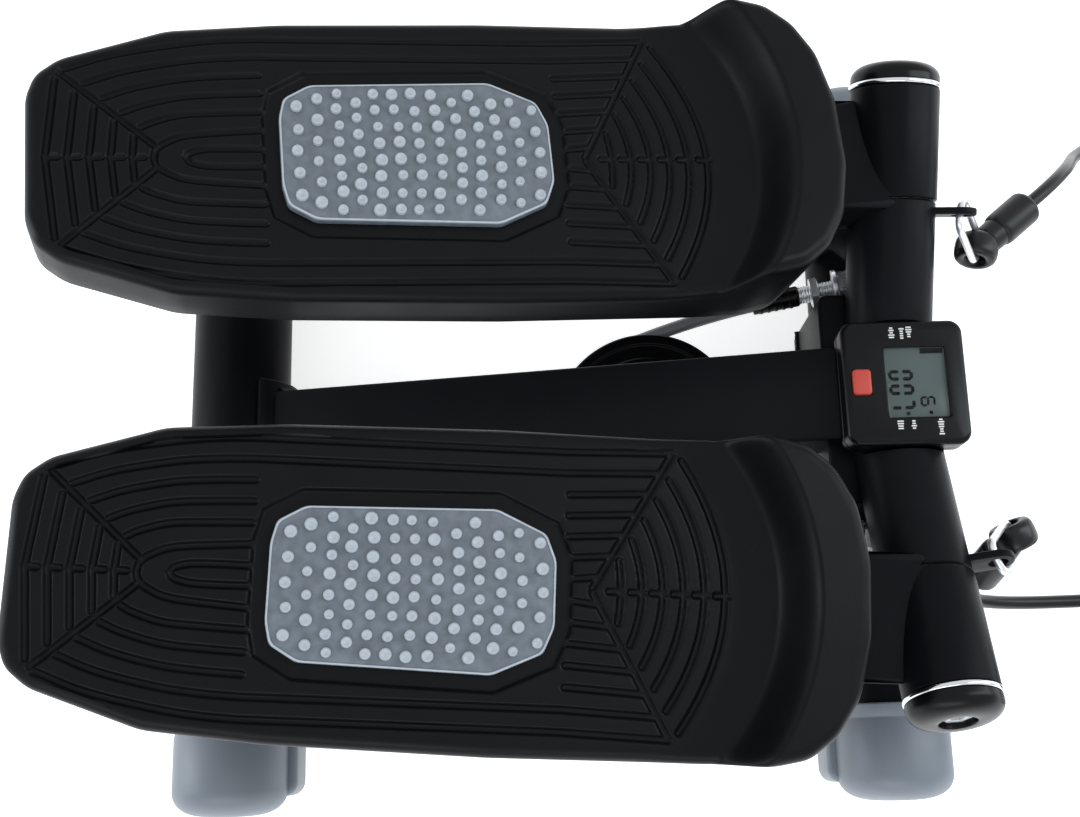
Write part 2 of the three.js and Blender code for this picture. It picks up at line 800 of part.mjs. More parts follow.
// Pressed plate with four screws, under the insert, that clamps the tray to the arm
function fixingPlate() {
  const strap = box(-42, 44, -15, 21, -4, -2.9);
  const screws = SCREWS.map(([u, v]) => {
    const g = rod(2.2, -14, -3, 6);
    g.translate(u, v, 0);
    return g;
  });
  return build([strap, ...screws]);
}

function cablePin() {
  return turned([
    [0, -10.6], [6.5, -10.6], [6.5, -7.4], [CABLE_PIN_R, -7.4], [CABLE_PIN_R, 17.4], [6.4, 17.4],
    [6.4, 21.4], [0, 21.4]], 12);
}

function leftArm(q, side) {
  const group = new THREE.Group();
  group.name = 'left_arm_group';
  group.position.copy(PIVOT);
  group.quaternion.setFromAxisAngle(AXIS, q);
  const onPivot = (name, geometry, color) => {
    const m = part(name, geometry, color);
    m.quaternion.setFromRotationMatrix(pivotFrame);
    group.add(m);
  };
  const onPedal = (name, geometry, color) => {
    const m = part(name, geometry, color);
    m.position.copy(PEDAL_O).sub(PIVOT);
    m.quaternion.setFromRotationMatrix(pedalRotation);
    group.add(m);
  };
  onPedal('left_pedal_arm', armWeldment(), 'frame');
  onPivot('left_sleeve_bushing', bushing(), 'nylon');
  onPivot('left_sleeve_ring', sleeveRing(), 'chrome');
  onPivot('left_sleeve_cap', sleeveCap(), 'plastic');
  onPedal('left_pedal_tray', pedalTray(), 'tread');
  onPedal('left_tread_insert', treadInsert(), 'pale');
  onPedal('left_fixing_plate', fixingPlate(), 'zinc');
  const onPin = (name, geometry, point) => {
    const m = part(name, geometry, 'zinc');
    m.position.copy(point).sub(PIVOT);
    m.quaternion.setFromRotationMatrix(acrossPivot(point));
    group.add(m);
  };
  onPin('left_cable_pin', cablePin(), CABLE_E);
  onPin('left_damper_pin', pinGeometry(27.6), DAMPER_P);
  return side === 'left' ? group : mirrored(group, toRight);
}

function leftCable(q, side) {
  const group = new THREE.Group();
  group.name = 'left_cable_group';
  const slide = CABLE_E.clone().sub(inPulleyPlane(...CABLE_ROUTE[0])).normalize();
  group.position.copy(slide).multiplyScalar(CABLE_RATE * q);
  group.add(part('left_cable', cable(), 'cable'));
  return side === 'left' ? group : mirrored(group, toRight);
}

function leftDamper(q, side) {
  const group = new THREE.Group();
  group.name = 'left_damper_group';
  for (const m of damper('left', q)) group.add(m);
  return side === 'left' ? group : mirrored(group, toRight);
}

// ---------- bands ----------

// Wire link: a closed racetrack whose two ends lie across the hole axes
function link(from, to, across) {
  const x = to.clone().sub(from);
  const length = x.length();
  x.normalize();
  const y = acrossOf(from, to, across);
  const m = basis(x, y, new THREE.Vector3().crossVectors(x, y), from);
  const outer = plate(roundedRect(-2, length + 2, -8, 8, 6.4, 3), 2.6);
  const inner = plate(roundedRect(0.6, length - 0.6, -5.4, 5.4, 4.4, 3), 7);
  inner.translate(0, 0, -2);
  const g = build([outer], [inner]);
  g.translate(0, 0, -1.3);
  return put(g, m);
}

function acrossOf(from, to, across) {
  const x = to.clone().sub(from).normalize();
  return across.clone().addScaledVector(x, -across.dot(x)).normalize();
}

// Moulded end: an eye on the link, then a sleeve over the cord
function bandEye(eye, axis, tip, cordR) {
  const dir = tip.clone().sub(eye);
  const length = dir.length();
  const frame = along(eye, dir);
  const eyeFrame = along(eye, axis);
  const body = put(turned([
    [0, 6], [4.6, 7], [6.6, 14], [6.8, length - 2], [5.6, length], [0, length]], 12), frame);
  const knob = put(rod(9, -3.6, 3.6, 16), eyeFrame);
  return build([body, knob], [
    put(rod(4.6, -9, 9, 12), eyeFrame),
    put(rod(cordR + 0.6, length - 12, length + 2, 12), frame),
  ]);
}

const LEFT_HOLE = new THREE.Vector3(27.53, -7.38, -53);
const LEFT_EYE = new THREE.Vector3(196.5, 66.5, 80);
const LEFT_TIP = new THREE.Vector3(222.5, 88, 78);
const RIGHT_EYE = new THREE.Vector3(198, -61, 83);
const RIGHT_TIP = new THREE.Vector3(190, -75, 56);
const CORD_R = 3;

const LEFT_COIL = [338, 112];
const RIGHT_COIL = [304, -122];
const LEFT_CORD = [
  [214.5, 81.4, 78.6], [222.6, 88.1, 78], [230, 94.3, 76.3], [238, 101.6, 72], [246, 109.6, 64],
  [253, 117, 53], [260, 125, 39.5], [268, 133.5, 26], [278, 142, 14.5], [290, 149, 7.4],
  [304, 152.8, 4], [322, 153.8, 3.3], [336, 153.8, 3.3]];
const RIGHT_CORD = [
  [192.5, -70.5, 64.6], [190, -75, 56], [188.6, -78.1, 47.5], [189.4, -79.8, 38], [194, -80.8, 29],
  [202, -81.2, 21.5], [211.5, -81.4, 15.6], [222.5, -81.3, 10.6], [235, -81, 6.9], [250, -80.6, 4.5],
  [268, -80.2, 3.5], [288, -80.2, 3.3], [302, -80.2, 3.3]];

function coil(cx, cy) {
  const g = turned([
    [26.5, 0.3], [38.5, 0.3], [38.5, 12.3], [26.5, 12.3]], 24, true);
  g.translate(cx, cy, 0);
  return g;
}

function bandHandle(x, y) {
  const g = turned([
    [0, -62], [9, -62], [11, -60], [11, -54], [14, -52], [14, 46], [11, 48], [11, 54], [7, 58],
    [0, 58]], 14);
  g.rotateX(Math.PI / 2);
  g.translate(x, y, 14.3);
  return g;
}

function bands() {
  const hole = LEFT_HOLE.clone().applyMatrix4(pivotFrame);
  const holeR = new THREE.Vector3(hole.x, -hole.y, hole.z);
  const axisR = new THREE.Vector3(AXIS.x, -AXIS.y, AXIS.z);
  const eyeAxis = acrossOf(hole, LEFT_EYE, AXIS);
  const eyeAxisR = acrossOf(holeR, RIGHT_EYE, axisR);
  return [
    part('left_band_link', link(hole, LEFT_EYE, AXIS), 'zinc'),
    part('left_band_eye', bandEye(LEFT_EYE, eyeAxis, LEFT_TIP, CORD_R), 'rubber'),
    part('left_band_cord', cordGeometry(LEFT_CORD, CORD_R, 8, 20), 'rubber'),
    part('left_band_coil', coil(...LEFT_COIL), 'rubber'),
    part('left_band_handle', bandHandle(LEFT_COIL[0] + 56, LEFT_COIL[1]), 'foam'),
    part('right_band_link', link(holeR, RIGHT_EYE, axisR), 'zinc'),
    part('right_band_eye', bandEye(RIGHT_EYE, eyeAxisR, RIGHT_TIP, CORD_R), 'rubber'),
    part('right_band_cord', cordGeometry(RIGHT_CORD, CORD_R, 8, 20), 'rubber'),
    part('right_band_coil', coil(...RIGHT_COIL), 'rubber'),
    part('right_band_handle', bandHandle(RIGHT_COIL[0] + 56, RIGHT_COIL[1]), 'foam'),
  ];
}

// ---------- assembly ----------

const machine = new THREE.Group();
machine.name = 'swing_stepper';
machine.position.x = -ORIGIN_X;
const base = new THREE.Group();
base.name = 'base_group';
base.add(
  part('rear_stabilizer', barAt(REAR_X), 'frame'),
  part('front_stabilizer', frontStabilizer(), 'frame'),
  part('rear_left_end_cap', endCap(REAR_X, 1), 'cap'),
  part('rear_right_end_cap', endCap(REAR_X, -1), 'cap'),
  part('front_left_end_cap', endCap(FRONT_X, 1), 'cap'),
  part('front_right_end_cap', endCap(FRONT_X, -1), 'cap'),
  part('centre_beam', centreBeam(), 'frame'),
  part('front_upright', frontUpright(), 'frame'),
  part('hub_tube', hubTube(), 'frame'),
  part('pulley_bolt', pulleyBolt(), 'zinc'),
  part('pulley_bush', pulleyBush(), 'nylon'),
  ...monitorParts(),
  part('pulley_wheel', pulleyWheel(), 'plastic'),
  part('cable_wrap', cableWrap(-CABLE_RATE * REST / WRAP_R), 'cable'),
  ...bands());
const paired = [
  part('left_pivot_shaft', pivotShaft(), 'zinc'),
  part('left_shaft_end_bolt', shaftEndBolt(), 'zinc'),
  part('left_damper_lower_pin', damperLowerPin(), 'zinc')];
for (const piece of paired) base.add(piece, mirrored(piece, toRight));
machine.add(base);
for (const side of ['left', 'right']) {
  const q = side === 'left' ? REST : -REST;
  machine.add(leftArm(q, side));
  machine.add(leftCable(q, side));
  machine.add(leftDamper(q, side));
}

export default machine;
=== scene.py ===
import json
import math
import random

import bmesh
import bpy
import numpy as np
from mathutils import Matrix, Vector


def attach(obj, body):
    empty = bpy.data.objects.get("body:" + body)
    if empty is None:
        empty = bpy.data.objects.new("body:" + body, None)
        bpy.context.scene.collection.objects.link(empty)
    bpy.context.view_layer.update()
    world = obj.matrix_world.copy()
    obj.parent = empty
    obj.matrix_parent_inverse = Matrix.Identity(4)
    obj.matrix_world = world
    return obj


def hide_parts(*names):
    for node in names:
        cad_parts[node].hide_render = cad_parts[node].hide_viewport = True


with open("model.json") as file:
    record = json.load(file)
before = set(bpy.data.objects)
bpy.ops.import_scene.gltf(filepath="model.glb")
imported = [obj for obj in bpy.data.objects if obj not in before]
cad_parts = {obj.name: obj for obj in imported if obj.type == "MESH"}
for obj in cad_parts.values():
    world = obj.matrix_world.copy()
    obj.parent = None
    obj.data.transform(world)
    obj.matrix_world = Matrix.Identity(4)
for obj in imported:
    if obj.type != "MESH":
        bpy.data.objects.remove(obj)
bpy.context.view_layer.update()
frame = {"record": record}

MM = 0.001
RIGHT_ANGLE = math.pi / 2
SIDES = ("left", "right")

# ---- Driving dimensions, in millimetres, in the machine's own frame ----

ORIGIN_X = 4.1
REAR_X, FRONT_X = -136.5, 155.0
BAR_Z, BAR_R, BAR_HALF = 25.0, 22.5, 150.0
CAP_IN, CAP_OUT, CAP_R, CAP_DOME = 126.0, 167.2, 25.0, 11.0
FOOT_INNER, FOOT_OUTER, FOOT_H = 29.0, 20.0, 24.0
BEAM_X0, BEAM_Z0, BEAM_LENGTH, BEAM_W, BEAM_H = -122.0, 42.0, 255.0, 40.0, 28.0
SLOPE = math.atan(50 / 247)
PULLEY_C = Vector((51, 0, 41.2))
WRAP_R, CABLE_R = 38.6, 3.0
TANGENT = math.radians(108)
LEAN, RISE = math.radians(2.6), math.radians(16)
PIVOT = Vector((157.3, 127.7, 114.5))
AXIS = Vector((math.sin(LEAN) * math.cos(RISE), math.cos(LEAN) * math.cos(RISE), math.sin(RISE)))
HUB_R, HUB_END, SHAFT_R = 18.3, -48.8, 10.0
SLEEVE_R, SLEEVE_BORE, SLEEVE_IN, SLEEVE_OUT = 18.8, 15.8, -48.2, -1.6
PEDAL_O = Vector((-44.1, 82.6, 155.2))
TOE_OUT, HEEL_UP, EDGE_DOWN = math.radians(3.4), math.radians(10.4), math.radians(2.4)
REST = math.radians(1.9)
DAMPER_B = Vector((125, 95.52, 40))
DAMPER_P = Vector((-52.29, 83.23, 110.85))
CABLE_E = (112.2, 60.0)
CABLE_RATE = -30.8
WIDTH_SHIFT = -0.8
SKIRT_Z = -24.0

# ---- Frames: each maps a sub-part's own millimetres to the row frame in metres ----

ROW = Matrix.Diagonal((MM, MM, MM, 1)) @ Matrix.Translation((-ORIGIN_X, 0, 0))
MIRROR = Matrix.Diagonal((1, -1, 1, 1))
STILL = Matrix.Identity(4)


def frame_of(x, y, z, origin):
    m = Matrix((x, y, z)).transposed().to_4x4()
    m.translation = origin
    return m


def along(origin, direction):
    """Frame whose Z runs along a direction, its X kept near the machine's X."""
    z = direction.normalized()
    x = Vector((1, 0, 0))
    x -= z * x.dot(z)
    if x.length < 0.3:
        x = Vector((0, 1, 0)) - z * z.y
    x.normalize()
    return frame_of(x, z.cross(x), z, origin)


PIVOT_FRAME = along(PIVOT, AXIS)
PEDAL_FRAME = (Matrix.Translation(PEDAL_O) @ Matrix.Rotation(TOE_OUT, 4, "Z")
               @ Matrix.Rotation(HEEL_UP, 4, "Y") @ Matrix.Rotation(-EDGE_DOWN, 4, "X"))
SLOPE_X = Vector((math.cos(SLOPE), 0, math.sin(SLOPE)))
SLOPE_Z = Vector((-math.sin(SLOPE), 0, math.cos(SLOPE)))
PULLEY_FRAME = frame_of(SLOPE_X, Vector((0, 1, 0)), SLOPE_Z, PULLEY_C)
BEAM_FRAME = frame_of(SLOPE_X, Vector((0, 1, 0)), SLOPE_Z, Vector((BEAM_X0, 0, BEAM_Z0)))


def rest_angle(side):
    return REST if side == "left" else -REST


def swung(side):
    turn = Matrix.Rotation(rest_angle(side), 4, AXIS)
    return Matrix.Translation(PIVOT) @ turn @ Matrix.Translation(-PIVOT)


def to_row(side, local=STILL, moving=False):
    """A frame of the left side, swung to rest if it moves, and mirrored for the right side."""
    m = swung(side) @ local if moving else local
    if side == "right":
        m = MIRROR @ m
    return ROW @ m


def row_point(p):
    return Vector(((p[0] - ORIGIN_X) * MM, p[1] * MM, p[2] * MM))


def on_side_of(side, p):
    return p if side == "left" else Vector((p.x, -p.y, p.z))


def in_pulley_plane(u, v):
    return PULLEY_FRAME @ Vector((u, v, 0))


# ---- Camera ----

CAMERA_AT = Vector((0.1, -145.5, 651.1))
ELEVATION, YAW, ROLL = math.radians(75.783), math.radians(-1.111), math.radians(-0.283)
LENS, SENSOR = 45.96, 36


def make_camera():
    back = Vector((
        math.sin(YAW) * math.cos(ELEVATION),
        -math.cos(YAW) * math.cos(ELEVATION),
        math.sin(ELEVATION)))
    x = Vector((0, 0, 1)).cross(back).normalized()
    y = back.cross(x)
    c, s = math.cos(ROLL), math.sin(ROLL)
    data = bpy.data.cameras.new("camera")
    data.lens = LENS
    data.sensor_width = SENSOR
    data.sensor_fit = "HORIZONTAL"
    data.clip_start = 0.01
    data.clip_end = 20
    obj = bpy.data.objects.new("camera", data)
    bpy.context.collection.objects.link(obj)
    obj.matrix_world = frame_of(c * x + s * y, -s * x + c * y, back, row_point(CAMERA_AT))
    bpy.context.scene.camera = obj


make_camera()

# ---- Materials ----


def srgb(*levels):
    """Linear values of a colour that is given in levels of 0 to 255."""
    parts = [c / 255 for c in levels]
    return [c / 12.92 if c <= 0.04045 else ((c + 0.055) / 1.055) ** 2.4 for c in parts]


def connect(owner, node, inputs):
    """Sets a node's inputs: another node's output is linked, and anything else is a value."""
    for socket, value in inputs.items():
        if isinstance(value, bpy.types.NodeSocket):
            owner.node_tree.links.new(value, node.inputs[socket])
        else:
            node.inputs[socket].default_value = value
    return node


def add_node(mat, kind, inputs):
    return connect(mat, mat.node_tree.nodes.new("ShaderNode" + kind), inputs)


def painted_edge_highlight(mat, base, color, edge_highlight):
    """Mixes a paler colour over the outer edges of the shape: a painted highlight where the edges catch the
    light.
    """
    pointiness = mat.node_tree.nodes.new("ShaderNodeNewGeometry").outputs["Pointiness"]
    edge = add_node(mat, "MapRange", {
        "From Min": 0.53, "From Max": 0.62, "To Max": edge_highlight, "Value": pointiness})
    highlit = mat.node_tree.nodes.new("ShaderNodeMix")
    highlit.data_type = "RGBA"
    paler = [min(1.0, c * 2.4 + 0.02) for c in color] + [1]
    connect(mat, highlit, {"Factor": edge.outputs["Result"], "A": base, "B": paler})
    return highlit.outputs["Result"]


def material(name, color, rough, *, metallic=0.0, spots=0.0, spot_scale=60.0, grain=0.0,
             grain_scale=2500.0, rough_vary=0.06, edge_highlight=0.0, specular=0.5, transmission=0.0, alpha=1.0):
    """A procedural finish: colour mottling, roughness variation, fine bump and a painted highlight on the
    outer edges.
    """
    mat = bpy.data.materials.new(name)
    mat.use_nodes = True
    color = srgb(*color)
    place = mat.node_tree.nodes.new("ShaderNodeTexCoord").outputs["Object"]
    mottling = add_node(mat, "TexNoise", {"Scale": spot_scale, "Detail": 4, "Vector": place})
    tone = add_node(mat, "ValToRGB", {"Fac": mottling.outputs["Fac"]})
    low, high = tone.color_ramp.elements
    low.position, high.position = 0.3, 0.7
    low.color = [max(0.0, c * (1 - spots)) for c in color] + [1]
    high.color = [min(1.0, c * (1 + spots)) for c in color] + [1]
    base = tone.outputs["Color"]
    # Paler outer edges: a painted highlight where the edges catch the light.
    if edge_highlight:
        base = painted_edge_highlight(mat, base, color, edge_highlight)
    smudge = add_node(mat, "TexNoise", {"Scale": spot_scale * 0.45, "Detail": 3, "Vector": place})
    gloss = add_node(mat, "MapRange", {
        "From Min": 0.3, "From Max": 0.7, "To Min": max(0.02, rough - rough_vary),
        "To Max": min(1.0, rough + rough_vary), "Value": smudge.outputs["Fac"]})
    shader = connect(mat, mat.node_tree.nodes["Principled BSDF"], {
        "Base Color": base, "Roughness": gloss.outputs["Result"], "Metallic": metallic,
        "Specular IOR Level": specular, "Transmission Weight": transmission, "Alpha": alpha})
    if grain:
        fine = add_node(mat, "TexNoise", {"Scale": grain_scale, "Detail": 2, "Vector": place})
        bump = add_node(mat, "Bump", {
            "Strength": grain, "Distance": 0.0002, "Height": fine.outputs["Fac"]})
        connect(mat, shader, {"Normal": bump.outputs["Normal"]})
    return mat


# edge_highlight sets how strongly a paler colour is painted on outer edges as a highlight.
FINISHES = {
    "frame_paint": dict(color=(14, 15, 18), rough=0.36, spots=0.10, grain=0.14, grain_scale=1400,
                        edge_highlight=0.2, specular=0.06),
    "cap_grey": dict(color=(112, 120, 128), rough=0.42, spots=0.035, grain=0.15, grain_scale=1800),
    "zinc": dict(color=(232, 234, 237), rough=0.3, metallic=0.8, spots=0.12, spot_scale=300,
                 grain=0.1, grain_scale=900),
    "chrome": dict(color=(228, 230, 233), rough=0.1, metallic=1.0, spots=0.03, rough_vary=0.04),
    "black_plastic": dict(color=(9, 9, 11), rough=0.28, spots=0.08, grain=0.06, grain_scale=2200,
                          specular=0.18),
    "tread_black": dict(color=(9, 10, 12), rough=0.4, spots=0.12, grain=0.2, grain_scale=2300,
                        edge_highlight=0.08, specular=0.13),
    "tread_pale": dict(color=(100, 108, 116), rough=0.42, spots=0.2, spot_scale=220, grain=0.2,
                       grain_scale=1500, edge_highlight=0.35),
    # A lighter copy of tread_pale for the studs: a painted highlight on the stud tops.
    "stud_pale_highlit": dict(color=(168, 176, 184), rough=0.36, spots=0.07, spot_scale=400, grain=0.2,
                      grain_scale=1500),
    "bush_nylon": dict(color=(222, 218, 204), rough=0.5, spots=0.03, grain=0.1),
    "cable_sheath": dict(color=(112, 114, 117), rough=0.35, spots=0.08, grain=0.2, grain_scale=1200),
    "band_rubber": dict(color=(11, 11, 13), rough=0.34, spots=0.1, grain=0.15, grain_scale=1600,
                        specular=0.35),
    "grip_foam": dict(color=(30, 30, 32), rough=0.85, spots=0.2, spot_scale=900, grain=0.9,
                      grain_scale=1500),
    "button_red": dict(color=(190, 66, 50), rough=0.45, spots=0.05, grain=0.1),
    "lcd_grey": dict(color=(82, 93, 92), rough=0.4, specular=0.2, spots=0.05, spot_scale=30),
    "board_green": dict(color=(38, 105, 66), rough=0.4, spots=0.1, spot_scale=400),
    "print_white": dict(color=(214, 214, 212), rough=0.6, spots=0.06, spot_scale=500),
    "lcd_ink": dict(color=(8, 9, 9), rough=0.45, spots=0.1, spot_scale=500, specular=0.1),
    "window_clear": dict(color=(225, 232, 229), rough=0.05, spots=0.02, rough_vary=0.02, specular=0.3,
                         transmission=1.0, alpha=0.12),
}
MATERIALS = {name: material(name, **finish) for name, finish in FINISHES.items()}

# ---- Outlines: points in a plane ----


def arc(cx, cy, r, first, last, n):
    """Points on an arc of n steps, its angles in degrees."""
    angles = [math.radians(first + (last - first) * i / n) for i in range(n + 1)]
    return [(cx + r * math.cos(a), cy + r * math.sin(a)) for a in angles]


def round_rect(x0, x1, y0, y1, r, n=8):
    corners = ((x1 - r, y1 - r, 0), (x0 + r, y1 - r, 90), (x0 + r, y0 + r, 180), (x1 - r, y0 + r, 270))
    return [p for x, y, a in corners for p in arc(x, y, r, a, a + 90, n)]


def dome(r_top, r, z, height, power, n):
    """Profile of a dome from its rim up to the radius r_top; a lower power makes it fuller."""
    angles = [RIGHT_ANGLE * i / n for i in range(n + 1)]
    return [(r_top + r * math.cos(a) ** power, z + height * math.sin(a)) for a in angles]


def rounded(pairs, r=0.8, steps=4, closed=False):
    """Rounds the corners of a profile or, when closed, of an outline."""
    pts = [Vector(p) for p in pairs]
    if closed:
        triples = [(pts[i - 1], pts[i], pts[(i + 1) % len(pts)]) for i in range(len(pts))]
        out = []
    else:
        triples = list(zip(pts, pts[1:], pts[2:]))
        out = [tuple(pts[0])]
    for a, m, b in triples:
        start = m + (a - m).normalized() * min(r, (a - m).length * 0.45)
        end = m + (b - m).normalized() * min(r, (b - m).length * 0.45)
        for i in range(steps + 1):
            t = i / steps
            out.append(tuple(start * (1 - t) ** 2 + m * 2 * t * (1 - t) + end * t * t))
    if not closed:
        out.append(tuple(pts[-1]))
    return out


def inset(outline, d):
    """Moves each edge of an outline inwards; the outline runs either way round."""
    pts = [Vector(p) for p in outline]
    after = pts[1:] + pts[:1]
    area = sum(p.x * q.y - q.x * p.y for p, q in zip(pts, after))
    turn = 1 if area > 0 else -1
    out = []
    for i, (p, q) in enumerate(zip(pts, after)):
        a = (p - pts[i - 1]).normalized()
        b = (q - p).normalized()
        normal = Vector((-a.y - b.y, a.x + b.x)) * turn
        normal.normalize()
        square = max(0.5, normal.dot(Vector((-b.y, b.x)) * turn))
        out.append(tuple(p + normal * (d / square)))
    return out


def smooth_path(points, per_span=10):
    """Points along a Catmull-Rom curve through the given points."""
    pts = [Vector(p) for p in points]
    pts = [2 * pts[0] - pts[1]] + pts + [2 * pts[-1] - pts[-2]]
    out = []
    for a, b, c, d in zip(pts, pts[1:], pts[2:], pts[3:]):
        for i in range(per_span):
            t = i / per_span
            out.append(0.5 * (2 * b + (c - a) * t + (2 * a - 5 * b + 4 * c - d) * t * t
                              + (3 * b - a - 3 * c + d) * t ** 3))
    out.append(pts[-2])
    return out


def ease(t):
    """Smooth step from 0 to 1, of a number or an array."""
    c = np.clip(t, 0, 1)
    return c * c * (3 - 2 * c)


# ---- Shapes: each is a (points, faces) pair in its own millimetres ----

COARSE, MEDIUM, FINE, FINEST = 32, 48, 96, 128


def moved(shape, m):
    verts, faces = shape
    out = [tuple(m @ Vector(p)) for p in verts]
    if m.determinant() < 0:
        faces = [list(reversed(f)) for f in faces]
    return out, faces


def merged(*shapes):
    verts, faces = [], []
    for v, f in shapes:
        n = len(verts)
        verts += v
        faces += [[i + n for i in face] for face in f]
    return verts, faces


def loft(rings, loop=False, ends=True):
    """Skin over rings of points with the same count; it has flat ends unless it is a loop."""
    n = len(rings[0])
    verts = [tuple(p) for ring in rings for p in ring]
    faces = []
    for k in range(len(rings) if loop else len(rings) - 1):
        a, b = k * n, (k + 1) % len(rings) * n
        for i in range(n):
            j = (i + 1) % n
            faces.append([a + i, a + j, b + j, b + i])
    if ends and not loop:
        faces += [list(reversed(range(n))), list(range(len(verts) - n, len(verts)))]
    return verts, faces


def at_height(outline, z):
    return [(x, y, z) for x, y in outline]


def prism(outline, z0, z1):
    return loft([at_height(outline, z0), at_height(outline, z1)])


def soft_prism(outline, z0, z1, r, steps=4):
    """Prism with rounded lower and upper edges."""
    levels = [(z0 + r * (1 - math.cos(a)), r * (1 - math.sin(a)))
              for a in [RIGHT_ANGLE * i / steps for i in range(steps + 1)]]
    levels += [(z1 + z0 - z, d) for z, d in reversed(levels)]
    return loft([at_height(inset(outline, d) if d > 1e-6 else outline, z) for z, d in levels])


def on_edge(shape):
    """Stands a prism on edge, so that its outline is in X and Z and its thickness along Y."""
    verts, faces = shape
    return [(x, z, y) for x, y, z in verts], [list(reversed(f)) for f in faces]


def lathe(pairs, n=64, closed=False):
    """Turned shape about +Z from (radius, height) pairs."""
    verts, faces, rows = [], [], []
    for r, h in pairs:
        if r < 1e-6:
            rows.append([len(verts)])
            verts.append((0, 0, h))
            continue
        rows.append(list(range(len(verts), len(verts) + n)))
        verts += [(r * math.cos(2 * math.pi * i / n), r * math.sin(2 * math.pi * i / n), h)
                  for i in range(n)]
    if closed:
        rows.append(rows[0])
    for a, b in zip(rows, rows[1:]):
        for i in range(n):
            j = (i + 1) % n
            corners = [a[i % len(a)], a[j % len(a)], b[j % len(b)], b[i % len(b)]]
            faces.append(list(dict.fromkeys(corners)))
    return verts, [f for f in faces if len(f) > 2]


def turned(pairs, r=0.6, n=64, closed=False):
    """Lathe with its corners rounded."""
    return lathe(rounded(pairs, r, closed=closed), n, closed)


def rod(r, z0, z1, n=MEDIUM):
    return lathe([(0, z0), (r, z0), (r, z1), (0, z1)], n)


def ring(inner, outer, z0, z1, r, n=MEDIUM):
    """Tube, washer or bush with rounded edges."""
    return turned([(inner, z0), (outer, z0), (outer, z1), (inner, z1)], r, n, closed=True)


def hexagon(r, z0, z1, chamfer=0.9):
    """Hexagon nut or bolt head, its corners turned off at both ends."""
    slope = chamfer * 0.6
    levels = [(z0, r - chamfer), (z0 + slope, r), (z1 - slope, r), (z1, r - chamfer)]
    return loft([at_height(arc(0, 0, radius, 0, 300, 5), z) for z, radius in levels])


def tube(path, r, n=24, closed=False):
    """Tube along points, its rings carried on without twist; r is one radius or one for each point."""
    path = [Vector(p) for p in path]
    count = len(path)
    radii = r if isinstance(r, list) else [r] * count
    rings = []
    up = Vector((0, 0, 1))
    for i, p in enumerate(path):
        after = path[(i + 1) % count] if closed else path[min(i + 1, count - 1)]
        before = path[i - 1] if closed else path[max(i - 1, 0)]
        d = (after - before).normalized()
        x = up.cross(d)
        if x.length < 1e-3:
            x = Vector((1, 0, 0))
        x.normalize()
        up = d.cross(x)
        angles = [2 * math.pi * k / n for k in range(n)]
        rings.append([p + x * radii[i] * math.cos(a) + up * radii[i] * math.sin(a) for a in angles])
    return loft(rings, loop=closed)


def thread(r, z0, z1, pitch=1.2):
    """Screw thread as a turned row of ridges."""
    pairs = [(0, z0), (r - 0.35, z0)]
    z = z0
    while z + pitch < z1:
        pairs += [(r, z + pitch * 0.35), (r, z + pitch * 0.5), (r - 0.45, z + pitch * 0.95)]
        z += pitch
    pairs += [(r - 0.35, z1), (0, z1)]
    return lathe(pairs, COARSE)


def weld(points, r=1.7):
    """Rippled weld bead along a line."""
    path = []
    for a, b in zip(points, points[1:]):
        a, b = Vector(a), Vector(b)
        steps = max(2, round((b - a).length / 0.8))
        path += [a.lerp(b, i / steps) for i in range(steps)]
    path.append(Vector(points[-1]))
    return tube(path, [r * (1 + 0.13 * math.sin(i * 1.9)) for i in range(len(path))], 12)


# ---- Objects ----

SHARP = math.radians(34)
BODY_OF = {n: b for b, ns in frame["record"]["behaviour"]["bodies"].items() for n in ns}
SLOT_OF = {s["node"]: s["material_slot"] for s in frame["record"]["subparts"]}


def new_mesh(name, shape):
    mesh = bpy.data.meshes.new(name)
    mesh.from_pydata(shape[0], [], shape[1])
    bm = bmesh.new()
    bm.from_mesh(mesh)
    bmesh.ops.remove_doubles(bm, verts=bm.verts, dist=1e-7)
    bmesh.ops.recalc_face_normals(bm, faces=bm.faces)
    bm.to_mesh(mesh)
    bm.free()
    return mesh


def shape_of(mesh):
    return [tuple(v.co) for v in mesh.vertices], [list(p.vertices) for p in mesh.polygons]


def boolean(shape, others, operation="DIFFERENCE"):
    """Cuts the others from a closed shape, or joins them to it."""
    base, *helpers = [bpy.data.objects.new("work", new_mesh("work", s)) for s in (shape, *others)]
    bpy.context.collection.objects.link(base)
    for helper in helpers:
        bpy.context.collection.objects.link(helper)
        mod = base.modifiers.new("boolean", "BOOLEAN")
        mod.operation = operation
        mod.solver = "MANIFOLD"
        mod.object = helper
    result = shape_of(base.evaluated_get(bpy.context.evaluated_depsgraph_get()).to_mesh())
    for obj in [base, *helpers]:
        mesh = obj.data
        bpy.data.objects.remove(obj)
        bpy.data.meshes.remove(mesh)
    return result


def trim(name, on_node, shape, slot, place=ROW, look=None):
    """A visible object that rides with a CAD node, its shape in the millimetres of its place."""
    mesh = new_mesh(name, moved(shape, place))
    bm = bmesh.new()
    bm.from_mesh(mesh)
    for f in bm.faces:
        f.smooth = True
    for e in bm.edges:
        if len(e.link_faces) == 2 and e.calc_face_angle(0) > SHARP:
            e.smooth = False
    bm.to_mesh(mesh)
    bm.free()
    obj = bpy.data.objects.new(name, mesh)
    bpy.context.collection.objects.link(obj)
    mesh.materials.append(MATERIALS[look or slot])
    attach(obj, BODY_OF[on_node])
    return obj


def piece(node, shape, place=ROW):
    """The finished look of one CAD node, which it stands for."""
    obj = trim(f"{node}_look", node, shape, SLOT_OF[node], place)
    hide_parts(node)
    return obj


# ---- Elastic bands: the cords come first ----

